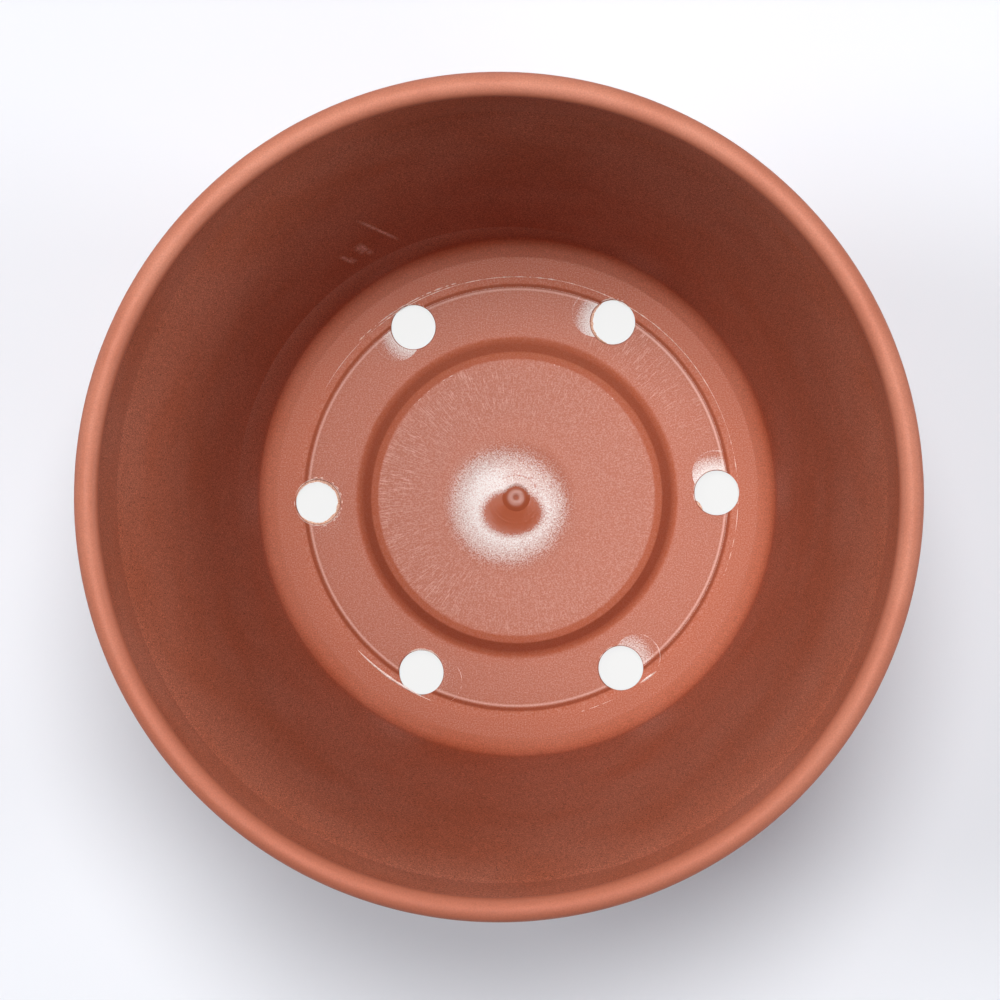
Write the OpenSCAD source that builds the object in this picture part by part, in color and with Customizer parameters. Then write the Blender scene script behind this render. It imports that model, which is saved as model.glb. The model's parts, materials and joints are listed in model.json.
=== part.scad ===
// Round plant pot, moulded in terracotta-coloured plastic. It stands on the plane z = 0, around the Z axis.
// The pot is one moulding, drawn here as its named features, which meet face to face.

/* [Overall] */
// Outside diameter across the rim bead
rim_d = 170; // [150:1:190]
// Height from the bench to the top of the rim
pot_h = 130; // [105:1:160]
// Thickness of the side wall, the heel and the floor
wall = 1.8; // [1.2:0.1:2.4]

/* [Rim bead] */
// Radial width of the bead
bead_w = 4.2; // [3.4:0.1:6]
// Height of the bead above its ledge
bead_h = 5; // [4:0.1:8]
// Chamfer on the bead's lower outer edge
bead_chamfer = 0.6; // [0.2:0.1:0.9]
// Reach of the collar's top into the bead, above the ledge
bead_seat = 1; // [0.5:0.1:1.5]

/* [Collar] */
// Depth of the collar's lower edge under the top of the rim
collar_depth = 25; // [18:0.5:34]
// Thickness of the collar
collar_wall = 2.4; // [2:0.1:3]
// Slope of the collar from upright, in degrees
collar_draft = 3.75; // [1:0.25:6]
// Chamfer on the collar's lower outer edge
collar_chamfer = 0.5; // [0.2:0.1:0.9]

/* [Shoulder] */
// Width of the sloping step inside, from the collar to the side wall
shoulder_w = 0.8; // [0.6:0.1:1]
// Height of that sloping step
shoulder_slope_h = 3; // [2:0.5:3.5]
// Height of the shoulder ring
shoulder_h = 5; // [4.5:0.5:8]

/* [Heel and foot] */
// Inside diameter at the corner of the side wall and the floor
base_d = 119.4; // [110:0.2:128]
// Inside radius of the rounded heel
heel_r = 4.4; // [3:0.1:6]
// Height of the foot ring
foot_h = 1.5; // [0.8:0.1:3]
// Width of each notch that lets water out through the foot ring
notch_w = 8; // [4:0.5:14]
// Floor left between a drain hole and the foot ring
foot_land = 0.9; // [0.4:0.1:1.6]

/* [Drain ring] */
// Width of the flat shelf between the heel and the drain channel
shelf_w = 4.65; // [3.5:0.05:6]
// Width of the drain channel's sloping floor
channel_w = 1.9; // [1.2:0.1:3]
// Width of the drain channel's steep side
channel_side_w = 0.6; // [0.4:0.1:1]
// Depth of the drain channel under the shelf
channel_depth = 0.35; // [0.2:0.05:0.6]
// Rise of the drain ring's flat above the shelf
ring_rise = 0.35; // [0.2:0.05:0.6]
// Radius on the edge between the flat and the channel
ring_edge_r = 0.5; // [0.2:0.05:0.7]
// Width of the drain ring's flat
ring_flat_w = 11.2; // [9:0.1:13]
// Number of drain holes
hole_count = 6; // [4:1:8]
// Diameter of a drain hole
hole_d = 10.4; // [8:0.1:12]
// Reach of a drain hole past the channel, into the shelf
hole_reach = 0.3; // [0:0.1:0.6]
// Floor of the drain ring outside the drain holes
hole_land = 1.2; // [0.6:0.1:2]
// Diameter of the round pin mark beside each hole
pin_d = 10.8; // [8:0.1:12]
// Turn from a drain hole to its pin mark, in degrees
pin_turn = 5.6; // [4:0.1:8]
// Depth of the pin mark
pin_depth = 0.15; // [0.05:0.05:0.3]

/* [Middle of the floor] */
// Rise of the centre disc above the drain ring's flat
disc_rise = 4; // [3:0.1:5]
// Slope of the step's straight part, in degrees
step_slope = 50; // [40:1:50]
// Radius of both of the step's rounded edges, on its upper face
step_r = 2.6; // [2.5:0.1:3]
// Outside diameter of the dome
dome_d = 36; // [28:0.5:42]
// Rise of the dome above the centre disc
dome_rise = 1.75; // [1:0.05:2.2]
// Radius of the dome's hollow rim, where it runs out into the disc
dome_blend_r = 30; // [20:1:40]
// Diameter of the gate boss at its foot
boss_d = 6.4; // [5:0.1:8]
// Diameter of the gate boss at its top
boss_top_d = 3.8; // [3:0.1:4.6]
// Height of the gate boss
boss_h = 0.9; // [0.5:0.1:1.5]
// Diameter of the dimple in the gate boss
dimple_d = 1.8; // [1.2:0.1:2.6]
// Depth of the dimple
dimple_depth = 0.4; // [0.2:0.05:0.6]

/* [Hidden] */
$fn = 120;
terracotta = "#c0694f";
terracotta_dark = "#8e4a38";
// Overshoot of a cut past the face that it opens
past = 1;

// Rim and collar
rim_r = rim_d / 2;
ledge_z = pot_h - bead_h;
seat_z = ledge_z + bead_seat;
mouth_r = rim_r - bead_w;
collar_out_r = mouth_r + collar_wall;
shoulder_z = pot_h - collar_depth;
collar_foot_r = mouth_r - (ledge_z - shoulder_z) * tan(collar_draft);

// Side wall: a straight line from the shoulder's step to the corner with the floor
floor_z = foot_h + wall;
corner = [base_d / 2, floor_z];
wall_top = [collar_foot_r - shoulder_w, shoulder_z - shoulder_slope_h];
wall_angle = atan2(wall_top.y - corner.y, wall_top.x - corner.x);
shoulder_foot_z = shoulder_z - shoulder_h;
function wall_in_r(z) = corner.x + (z - corner.y) / tan(wall_angle);
function wall_out_r(z) = wall_in_r(z) + wall / sin(wall_angle);

// Heel: an arc that touches the floor and the side wall
heel_in_r = corner.x - heel_r * tan(wall_angle / 2);
heel_centre = [heel_in_r, floor_z + heel_r];

// Drain ring, from the shelf inwards
channel_out_r = heel_in_r - shelf_w;
channel_in_r = channel_out_r - channel_w;
channel_z = floor_z - channel_depth;
ring_z = floor_z + ring_rise;
ring_edge = [channel_in_r - channel_side_w, ring_z];
ring_in_r = ring_edge.x - ring_flat_w;
side_slope = atan2(ring_z - channel_z, channel_side_w);
edge_back = ring_edge_r * tan(side_slope / 2);
hole_r = hole_d / 2;
hole_circle_r = channel_out_r + hole_reach - hole_r;
ring_out_r = channel_out_r + hole_reach + hole_land;
foot_in_r = channel_out_r + hole_reach + foot_land;

// Step, disc, dome and boss
disc_z = ring_z + disc_rise;
step_straight = (disc_rise - 2 * step_r * (1 - cos(step_slope))) / tan(step_slope);
disc_r = ring_in_r - step_straight - 2 * step_r * sin(step_slope);
step_steep = 90 - step_slope;
step_brow = [disc_r, disc_z - step_r];
step_foot = [ring_in_r, ring_z + step_r];
dome_r = dome_d / 2;
dome_slope = 2 * atan(dome_rise / dome_r);
dome_ball_r = dome_r / sin(dome_slope) - dome_blend_r;
dome_ball_z = disc_z + dome_rise - dome_ball_r;
dome_crown = 90 - dome_slope;
dome_rim = [dome_r, disc_z + dome_blend_r];
boss_r = boss_d / 2;
function on_ball_z(r, ball_r) = dome_ball_z + sqrt(ball_r * ball_r - r * r);
boss_foot_z = on_ball_z(boss_r, dome_ball_r);
boss_top_z = boss_foot_z + boss_h;

// Point at a distance and an angle from a centre
function polar(centre, r, angle) = centre + r * [cos(angle), sin(angle)];

// Points of an arc, in the given number of steps
function arc(centre, r, from, to, steps) =
    [for (i = [0 : steps]) polar(centre, r, from + (to - from) * i / steps)];

// Part of a flat ring around a centre, between two radii and two angles
module ring_sector(centre, in_r, out_r, from, to) {
    reach = 2 * out_r;
    intersection() {
        translate(centre)
            difference() {
                circle(r = out_r);
                circle(r = in_r);
            }
        polygon(concat([centre], arc(centre, reach, from, to, 4)));
    }
}

// Flat ring of rectangular section
module plain_ring(in_r, out_r, low, high) {
    rotate_extrude()
        translate([in_r, low])
            square([out_r - in_r, high - low]);
}

// Copies its children at each drain hole, turned on by a further angle
module at_holes(turn = 0) {
    for (i = [0 : hole_count - 1])
        rotate(i * 360 / hole_count + turn)
            translate([hole_circle_r, 0])
                children();
}

// Rounded bead around the mouth. The collar's top seats in it, and a flat ledge is left outside the collar.
module rim_bead() {
    round_r = bead_w / 2;
    round_centre = [rim_r - round_r, pot_h - round_r];
    color(terracotta)
        rotate_extrude()
            union() {
                ring_sector(round_centre, 0, round_r, 0, 180);
                polygon([
                    [mouth_r, round_centre.y],
                    [mouth_r, seat_z],
                    [collar_out_r, seat_z],
                    [collar_out_r, ledge_z],
                    [rim_r - bead_chamfer, ledge_z],
                    [rim_r, ledge_z + bead_chamfer],
                    [rim_r, round_centre.y]
                ]);
            }
}

// Band under the bead, with a lower edge that stands proud of the side wall
module collar() {
    foot_out_r = collar_foot_r + collar_wall;
    color(terracotta_dark)
        rotate_extrude()
            polygon([
                [mouth_r, seat_z],
                [mouth_r, ledge_z],
                [collar_foot_r, shoulder_z],
                [foot_out_r - collar_chamfer, shoulder_z],
                [foot_out_r, shoulder_z + collar_chamfer],
                [collar_out_r, ledge_z],
                [collar_out_r, seat_z]
            ]);
}

// Step from the collar to the side wall
module shoulder() {
    color(terracotta_dark)
        rotate_extrude()
            polygon([
                [collar_foot_r, shoulder_z],
                wall_top,
                [wall_in_r(shoulder_foot_z), shoulder_foot_z],
                [wall_out_r(shoulder_foot_z), shoulder_foot_z],
                [wall_out_r(shoulder_z), shoulder_z]
            ]);
}

// Tapered wall, cut square to its slope where it meets the heel
module side_wall() {
    square_cut = wall_angle - 90;
    color(terracotta_dark)
        rotate_extrude()
            polygon([
                [wall_in_r(shoulder_foot_z), shoulder_foot_z],
                polar(heel_centre, heel_r, square_cut),
                polar(heel_centre, heel_r + wall, square_cut),
                [wall_out_r(shoulder_foot_z), shoulder_foot_z]
            ]);
}

// Rounded corner between the side wall and the floor
module heel() {
    color(terracotta)
        rotate_extrude()
            ring_sector(heel_centre, heel_r, heel_r + wall, -90, wall_angle - 90);
}

// Ring that the pot stands on, open beside each drain hole
module foot_ring() {
    color(terracotta_dark)
        difference() {
            plain_ring(foot_in_r, heel_in_r, 0, foot_h);
            at_holes()
                translate([0, -notch_w / 2, -past])
                    cube([heel_in_r, notch_w, foot_h + 2 * past]);
        }
}

// Outermost flat ring of the floor
module floor_shelf() {
    color(terracotta)
        plain_ring(ring_out_r, heel_in_r, foot_h, floor_z);
}

// Ring with the drain holes, a channel that leads water to them and a round pin mark beside each.
// Its inner edge curves up into the floor's step.
module drain_ring() {
    edge_centre = ring_edge + [-edge_back, -ring_edge_r];
    color(terracotta)
        difference() {
            rotate_extrude()
                union() {
                    ring_sector(step_foot, step_r, step_r + wall, step_steep + 180, 270);
                    polygon(concat(
                        [
                            [ring_in_r, foot_h + ring_rise],
                            [ring_edge.x, foot_h + ring_rise],
                            [ring_edge.x + ring_rise, foot_h],
                            [ring_out_r, foot_h],
                            [ring_out_r, floor_z],
                            [channel_out_r, floor_z],
                            [channel_in_r, channel_z]
                        ],
                        arc(edge_centre, ring_edge_r, 90 - side_slope, 90, 6),
                        [[ring_in_r, ring_z]]
                    ));
                }
            at_holes()
                translate([0, 0, -past])
                    cylinder(r = hole_r, h = ring_z + 2 * past);
            intersection() {
                at_holes(pin_turn)
                    translate([0, 0, ring_z - pin_depth])
                        cylinder(d = pin_d, h = pin_depth + past);
                cylinder(r = edge_centre.x, h = ring_z + 2 * past);
            }
        }
}

// Straight slope of the step from the drain ring up to the centre disc
module floor_step() {
    color(terracotta_dark)
        rotate_extrude()
            polygon([
                polar(step_brow, step_r - wall, step_steep),
                polar(step_brow, step_r, step_steep),
                polar(step_foot, step_r, step_steep + 180),
                polar(step_foot, step_r + wall, step_steep + 180)
            ]);
}

// Raised flat middle of the floor, rounded over at its edge and hollowed up to the dome
module centre_disc() {
    color(terracotta)
        rotate_extrude()
            union() {
                ring_sector(dome_rim, dome_blend_r, dome_blend_r + wall, dome_crown + 180, 270);
                polygon([
                    [dome_r, disc_z - wall],
                    [disc_r, disc_z - wall],
                    [disc_r, disc_z],
                    [dome_r, disc_z]
                ]);
                ring_sector(step_brow, step_r - wall, step_r, step_steep, 90);
            }
}

// Low dome around the gate
module gate_dome() {
    color(terracotta)
        difference() {
            rotate_extrude()
                ring_sector([0, dome_ball_z], dome_ball_r - wall, dome_ball_r, dome_crown, 90);
            cylinder(r = boss_r, h = pot_h);
        }
}

// Small round boss at the gate, with a dimple in its top
module gate_boss() {
    dimple_r = dimple_d / 2;
    color(terracotta)
        rotate_extrude()
            union() {
                intersection() {
                    ring_sector([0, dome_ball_z], dome_ball_r - wall, dome_ball_r, 0, 90);
                    square([boss_r, pot_h]);
                }
                polygon([
                    [0, boss_foot_z],
                    [boss_r, boss_foot_z],
                    [boss_top_d / 2, boss_top_z],
                    [dimple_r, boss_top_z],
                    [0, boss_top_z - dimple_depth]
                ]);
            }
}

rim_bead();
collar();
shoulder();
side_wall();
heel();
foot_ring();
floor_shelf();
drain_ring();
floor_step();
centre_disc();
gate_dome();
gate_boss();
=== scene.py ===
# %% [markdown]
# # A moulded plant pot, seen from straight above
#
# The pot is one injection moulding of polypropylene, coloured terracotta. A steel core formed its inside
# and a cavity formed its outside, so every face carries the finish of the steel that it was pressed
# against: matte on the wall, satin and faintly scratched on the floor, polished around the gate in the
# middle.
#
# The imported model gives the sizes. Each of its nodes is a ring around the Z axis, so the lesson reads
# corners from those rings, draws finer half sections through them and turns each section into a ring again.

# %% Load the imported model
import json
import math

import bmesh
import bpy
from mathutils import Matrix, Vector


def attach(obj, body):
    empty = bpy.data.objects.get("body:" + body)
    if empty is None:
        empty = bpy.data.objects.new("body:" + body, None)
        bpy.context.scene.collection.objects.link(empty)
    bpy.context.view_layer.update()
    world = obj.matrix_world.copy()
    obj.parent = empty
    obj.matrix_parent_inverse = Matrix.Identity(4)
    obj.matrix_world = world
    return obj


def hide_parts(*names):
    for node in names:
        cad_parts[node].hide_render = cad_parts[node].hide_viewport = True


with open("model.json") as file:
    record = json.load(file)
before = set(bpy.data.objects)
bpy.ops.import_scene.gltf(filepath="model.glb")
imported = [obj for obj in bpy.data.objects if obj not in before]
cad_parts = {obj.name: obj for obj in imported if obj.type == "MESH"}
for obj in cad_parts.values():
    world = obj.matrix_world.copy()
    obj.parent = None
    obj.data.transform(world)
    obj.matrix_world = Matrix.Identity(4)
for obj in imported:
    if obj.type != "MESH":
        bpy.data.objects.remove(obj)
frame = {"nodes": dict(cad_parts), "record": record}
bpy.context.view_layer.update()
MM = 0.001

# %% [markdown]
# ## Reading sizes from the rings
#
# A ring is known by its half section: a flat shape of radius and height. The corner that lies furthest in a
# direction of that section is easy to find among the mesh points, so `corner` asks for a direction. All
# lengths from here on are in millimetres, and they become metres when a mesh is made.


# %% Corners of a ring's half section
def corner(node, out, up):
    """The point (radius, height) of a node's half section that lies furthest in the direction (out, up)."""
    points = [Vector((v.co.xy.length, v.co.z)) / MM for v in frame["nodes"][node].data.vertices]
    return max(points, key=lambda point: out * point.x + up * point.y)


# A small share of a second direction, to choose between corners that are level
TIE = 0.01

rim_r = corner("rim_bead", 1, 0).x
rim_top = corner("rim_bead", 0, 1).y
mouth_r = corner("rim_bead", -1, 0).x
ledge_z = corner("rim_bead", 0, -1).y
collar_out_r = corner("collar", 1, 0).x
seat_z = corner("collar", 0, 1).y
collar_foot = corner("collar", -1, -TIE)
collar_wall = collar_out_r - mouth_r
holes = next(m for m in frame["record"]["mounts"] if m["name"] == "drain_holes")["dims"]
hole_r = holes["hole_r_mm"]
hole_circle_r = holes["pcd_mm"] / 2
hole_count = holes["count"]
floor_z = corner("floor_shelf", 0, 1).y
heel_in_r = corner("floor_shelf", 1, 0).x
print(f"{hole_count} holes of radius {hole_r} on a circle of {hole_circle_r:.2f}")
print(f"rim radius {rim_r:.2f}, mouth radius {mouth_r:.2f}, top {rim_top:.2f}, ledge {ledge_z:.2f}")

# %% [markdown]
# ## Lines and arcs of a section
#
# A flat face next to a rounding shades badly when it is one long strip, because its end points share the
# rounding's normals. So straight stretches are cut into short spans, and arcs into small turns. `rounded`
# takes off a corner between two stretches, and `eased` draws a soft S between two levels.

# %% Helpers for sections
SPAN = 1.5
TURN = math.radians(5)
EASE_STEPS = 12


def straight(start, end, span=SPAN):
    """Points from start towards end, without the end itself."""
    count = max(1, math.ceil((end - start).length / span))
    return [start.lerp(end, i / count) for i in range(count)]


def arc(centre, radius, first, last, turn=TURN):
    """Points of an arc between two angles in radians, with both ends."""
    count = max(2, math.ceil(abs(last - first) / turn))
    angles = [first + (last - first) * i / count for i in range(count + 1)]
    return [centre + radius * Vector((math.cos(a), math.sin(a))) for a in angles]


def polyline(*corners):
    """Points along straight stretches through the corners, with the last corner."""
    points = []
    for start, end in zip(corners, corners[1:]):
        points += straight(start, end)
    return points + [corners[-1]]


def without_doubles(points, near=1e-4):
    """The points of a closed outline, without neighbours that coincide."""
    kept = []
    for point in points:
        if not kept or (point - kept[-1]).length > near:
            kept.append(point)
    if (kept[0] - kept[-1]).length < near:
        kept.pop()
    return kept


def point(radius, height):
    """A point of a half section."""
    return Vector((radius, height))


def meeting(start, way, other, other_way):
    """The point where a line from start meets a line from another point, each along its way."""
    return start + way * ((other - start).cross(other_way) / way.cross(other_way))


def rounded(before, at, after, radius):
    """Points of the arc that rounds off the corner at a point, on the way from one point to the next."""
    back = (before - at).normalized()
    on = (after - at).normalized()
    half = back.angle(on) / 2
    centre = at + (back + on).normalized() * (radius / math.sin(half))
    start = at + back * (radius / math.tan(half)) - centre
    first = math.atan2(start.y, start.x)
    return arc(centre, radius, first, first + math.copysign(math.pi - 2 * half, on.cross(back)))


def eased(start, end):
    """Points from start to end that leave and arrive level, without the end itself."""
    shares = [i / EASE_STEPS for i in range(EASE_STEPS)]
    return [point(start.x + (end.x - start.x) * t,
                  start.y + (end.y - start.y) * (1 - math.cos(math.pi * t)) / 2) for t in shares]


print(f"spans of {SPAN} mm, turns of {math.degrees(TURN):.0f} degrees")

# %% Sizes of the drain channel
RING_RISE = 0.35
CHANNEL_DEPTH = 0.22
CHANNEL_W = 1.9
CHANNEL_SIDE_W = 0.6
EDGE_EASE = 0.1
CREASE_EASE = 0.45
HOLE_REACH = 0.3
ring_z = floor_z + RING_RISE
channel_out_r = hole_circle_r + hole_r - HOLE_REACH
channel_in_r = channel_out_r - CHANNEL_W
ring_edge_r = channel_in_r - CHANNEL_SIDE_W
ring_flat_r = ring_edge_r - EDGE_EASE
crease = point(channel_in_r + CREASE_EASE, floor_z - CHANNEL_DEPTH)
print(f"the channel runs from radius {ring_flat_r:.2f} to {channel_out_r:.2f}")

# %% [markdown]
# ## One small function for nodes
#
# Shader trees and geometry trees are made of the same bricks: a node with its settings, and inputs that
# hold a value or a link. `add` does that in one line, which keeps the trees short enough to read, and
# `feed` gives one input what it takes.

# %% Adding a node
# Kinds of node and settings that come often
MATH = "ShaderNodeMath"
VECTOR = "ShaderNodeVectorMath"
MAP = "ShaderNodeMapRange"
MIX = "ShaderNodeMix"
NOISE = "ShaderNodeTexNoise"
SMOOTH = {"interpolation_type": "SMOOTHSTEP"}
COLOUR = {"data_type": "RGBA"}


def feed(tree, target, value):
    """Gives an input a value, a socket, a node for that node's first output, or a list of these."""
    if isinstance(value, bpy.types.Node):
        value = next(s for s in value.outputs if s.enabled)
    if isinstance(value, list):
        for item in value:
            feed(tree, target, item)
    elif isinstance(value, bpy.types.NodeSocket):
        tree.links.new(value, target)
    else:
        target.default_value = value


def add(tree, kind, inputs=None, **settings):
    """Adds a node with its settings and inputs. "From" and "To" take both ends of a range."""
    made = tree.nodes.new(kind)
    for name, value in settings.items():
        setattr(made, name, value)
    for key, value in (inputs or {}).items():
        ends = (key + " Min", key + " Max") if key in ("From", "To") else (key,)
        for name, end in zip(ends, value if len(ends) == 2 else (value,)):
            named = [s for s in made.inputs if s.enabled and s.name == name]
            feed(tree, named[0] if named else made.inputs[name], end)
    return made


def linear(hex_colour):
    """A colour written as sRGB hex, as the linear RGBA that nodes take."""
    parts = [int(hex_colour[i:i + 2], 16) / 255 for i in (1, 3, 5)]
    turned = [c / 12.92 if c <= 0.04045 else ((c + 0.055) / 1.055) ** 2.4 for c in parts]
    return (*turned, 1.0)


def per_mm(size):
    """Texture scale at which one cell of a pattern is this many millimetres, in Object coordinates."""
    return 1 / (size * MM)


# %% [markdown]
# ## Finishes
#
# All faces are the same polypropylene, dyed through in terracotta. What differs is the steel that each face
# was pressed against, so the finishes share a colour and differ in roughness, grain and marks. The patterns
# follow the pot's axis: rub marks on the floor run outwards from the gate, and pale blooms stand on the
# wall above the holes. `around_axis` gives each finish its place, its direction from the axis, its radius
# and its height.

# %% Colours and places that the finishes share
TERRACOTTA = "#b46042"
# A paler terracotta: painted sheen on the level faces of the floor
TERRACOTTA_SHEEN = "#b46e59"
TERRACOTTA_MATTE = "#a55c43"
TERRACOTTA_PALE = "#dfb2a4"
# The shelf's colour with its painted sheen, where the heel starts
TERRACOTTA_SHELF_SHEEN = "#bb6d53"
TERRACOTTA_HEEL = "#b36043"
PP_IOR = 1.49
SPECKLE = 0.3
SPECKLE_RANGE = (0.25, 0.75)
NOISE_RANGE = (0.3, 0.7)


def new_finish(name, gloss):
    """A new polypropylene with a share of its full gloss: its material, its tree and its shader."""
    material = bpy.data.materials.new(name)
    material.use_nodes = True
    shader = material.node_tree.nodes["Principled BSDF"]
    shader.inputs["IOR"].default_value = PP_IOR
    shader.inputs["Specular IOR Level"].default_value = gloss / 2
    return material, material.node_tree, shader


def around_axis(tree):
    """The place, the direction from the axis, and the distance from it and the height in millimetres."""
    place = add(tree, "ShaderNodeTexCoord").outputs["Object"]
    level = add(tree, VECTOR, {0: place, 1: (1, 1, 0)}, operation="MULTIPLY")
    outward = add(tree, VECTOR, {0: level}, operation="NORMALIZE")
    reach = add(tree, VECTOR, {0: level}, operation="LENGTH")
    radius = add(tree, MATH, {0: reach, 1: 1 / MM}, operation="MULTIPLY")
    rise = add(tree, "ShaderNodeSeparateXYZ", {0: place}).outputs["Z"]
    height = add(tree, MATH, {0: rise, 1: 1 / MM}, operation="MULTIPLY")
    return place, outward, radius, height


def past_hole(tree, outward, turn):
    """The angle round the axis from the nearest of the hole directions, turned on by an angle."""
    ends = add(tree, "ShaderNodeSeparateXYZ", {0: outward})
    angle = add(tree, MATH, {0: ends.outputs["Y"], 1: ends.outputs["X"]}, operation="ARCTAN2")
    turned_on = add(tree, MATH, {0: angle, 1: turn}, operation="SUBTRACT")
    half_pitch = math.pi / hole_count
    return add(tree, MATH, {0: turned_on, 1: half_pitch, 2: -half_pitch}, operation="WRAP")


def hole_reach(tree, outward, radius, turn):
    """The distance in millimetres from the nearest hole's middle, turned on round the axis by an angle."""
    out = add(tree, MATH, {0: radius, 1: hole_circle_r}, operation="SUBTRACT")
    across = add(tree, MATH, {0: radius, 1: past_hole(tree, outward, turn)}, operation="MULTIPLY")
    spot = add(tree, "ShaderNodeCombineXYZ", {"X": across, "Y": out})
    return add(tree, VECTOR, {0: spot}, operation="LENGTH").outputs["Value"]


def streaks(tree, outward, along, count, length):
    """Noise drawn out in lines: a count of cells round the axis, each of a length in millimetres."""
    around = add(tree, VECTOR, {0: outward, "Scale": count / math.tau}, operation="SCALE")
    drawn = add(tree, MATH, {0: along, 1: length}, operation="DIVIDE")
    lift = add(tree, "ShaderNodeCombineXYZ", {"Z": drawn})
    spot = add(tree, VECTOR, {0: around, 1: lift}, operation="ADD")
    return add(tree, NOISE, {"Vector": spot, "Scale": 1.0, "Detail": 2.0})


def towards(degrees):
    """The level direction at an angle from the X axis."""
    return (math.cos(math.radians(degrees)), math.sin(math.radians(degrees)), 0.0)


def overlap(tree, *shares):
    """The product of several shares: full only where all of them are."""
    whole = shares[0]
    for share in shares[1:]:
        whole = add(tree, MATH, {0: whole, 1: share}, operation="MULTIPLY")
    return whole


def apart(tree, value, middle):
    """How far a value is from a middle, to either side."""
    off = add(tree, MATH, {0: value, 1: middle}, operation="SUBTRACT")
    return add(tree, MATH, {0: off}, operation="ABSOLUTE")


def lean(tree, outward, side, facing, share):
    """A share that goes from its first value to its second as the direction turns to a side."""
    turned_to = add(tree, VECTOR, {0: outward, 1: side}, operation="DOT_PRODUCT").outputs["Value"]
    return add(tree, MAP, {"Value": turned_to, "From": facing, "To": share})


def speckled(tree, place, colour, share):
    """The colour with fine grains, darker and lighter by up to a share."""
    cells = add(tree, NOISE, {"Vector": place, "Scale": per_mm(SPECKLE), "Detail": 2.0})
    tone = add(tree, MAP, {"Value": cells, "From": SPECKLE_RANGE, "To": (1 - share, 1 + share)})
    return add(tree, MIX, {"Factor": 1.0, "A": colour, "B": tone}, **COLOUR, blend_type="MULTIPLY")


def link_finish(tree, shader, colour, roughness, normal):
    """Links a finish's three results to its shader."""
    feed(tree, shader.inputs["Base Color"], colour)
    feed(tree, shader.inputs["Roughness"], roughness)
    feed(tree, shader.inputs["Normal"], normal)


print("terracotta in linear light:", [round(c, 3) for c in linear(TERRACOTTA)])

# %% [markdown]
# ### Blasted wall
#
# The core was blasted with grit where it forms the wall, so the wall is matte, with a fine grain and soft
# clouds of tone. Above each drain hole the melt flowed round a pin and met again behind it: there the wall
# has a pale bloom at its foot. On one side the lower wall gets a band of painted light, which ends at a
# slanting upper edge, and a few thin pale scuffs climb the wall. Each scuff is a slanting line in the plane
# of arc length and height, so it needs only a distance from that line.
#
# The marks and the painted band of light are on the inside only. A face of the outside looks away from
# the axis, so its normal tells the two apart. The outside is plainer, with less grain.

# %% Polypropylene from a blasted core
WALL_GLOSS = 0.3
WALL_SPECKLE = 0.75
BLAST_START = 0.3
HEEL_FADE = 3.2
BLAST_FULL = 5.0
WALL_GRAIN = 0.45
WALL_GRAIN_H = 0.02
WALL_CLOUD = 26.0
WALL_CLOUD_SHARE = 0.08
WALL_CLOUD_RANGE = (0.35, 0.65)
WALL_ROUGHNESS = (0.62, 0.74)
HEEL_GRAIN = 0.4
BLOOM_ANGLE = math.radians(9)
BLOOM_TOP = 26.0
BLOOM_FOOT = 8.0
BLOOM_SHARE = 0.16
# From the outside of the pot to its inside, by how far a face looks away from the axis
FACE_TURN = (0.1, -0.1)
OUTSIDE_GRAIN = 0.4
OUTSIDE_CLOUD = 0.4
# A band of painted light on the lower wall, on one side, up to a slanting edge
LIT_BAND_FOOT = 7.0
LIT_BAND_TOP = 13.5
LIT_BAND_CLIMB = 8.2
LIT_BAND_CLIMB_SIDE = towards(165)
LIT_BAND_EDGE = 0.7
LIT_BAND_SHARE = 0.22
LIT_BAND_SIDE = towards(125)
LIT_BAND_FACING = (0.55, 0.98)
SCUFF_WISP = 1.6
SCUFF_TORN = (0.32, 0.5)
# Direction in degrees, height, slant, half length, half width and strength of each scuff
SCUFFS = (
    (115.2, 39.8, 0.204, 15.0, 0.6, 1.0),
    (119.4, 31.8, 0.086, 7.0, 0.9, 0.8),
    (120.3, 33.5, 0.100, 5.0, 1.2, 0.6),
    (123.6, 33.0, 0.140, 6.5, 0.7, 0.8),
    (122.7, 30.0, 0.140, 3.5, 0.7, 0.5),
)


def scuff(tree, angle, radius, height, direction, middle, slant, half, width, strength):
    """How plain one scuff is: strongest on its slanting line and fading towards its ends."""
    aside = add(tree, MATH, {0: angle, 1: math.radians(direction)}, operation="SUBTRACT")
    across = add(tree, MATH, {0: aside, 1: radius}, operation="MULTIPLY")
    rise = add(tree, MATH, {0: height, 1: middle}, operation="SUBTRACT")
    off_line = add(tree, MATH, {0: rise, 1: -slant, 2: across}, operation="MULTIPLY_ADD")
    off = add(tree, MATH, {0: off_line}, operation="ABSOLUTE")
    far = add(tree, MATH, {0: rise}, operation="ABSOLUTE")
    line = add(tree, MAP, {"Value": off, "From": (width, 0.0), "To": (0.0, strength)})
    length = add(tree, MAP, {"Value": far, "From": (half, half / 2)})
    return overlap(tree, line, length)


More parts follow.
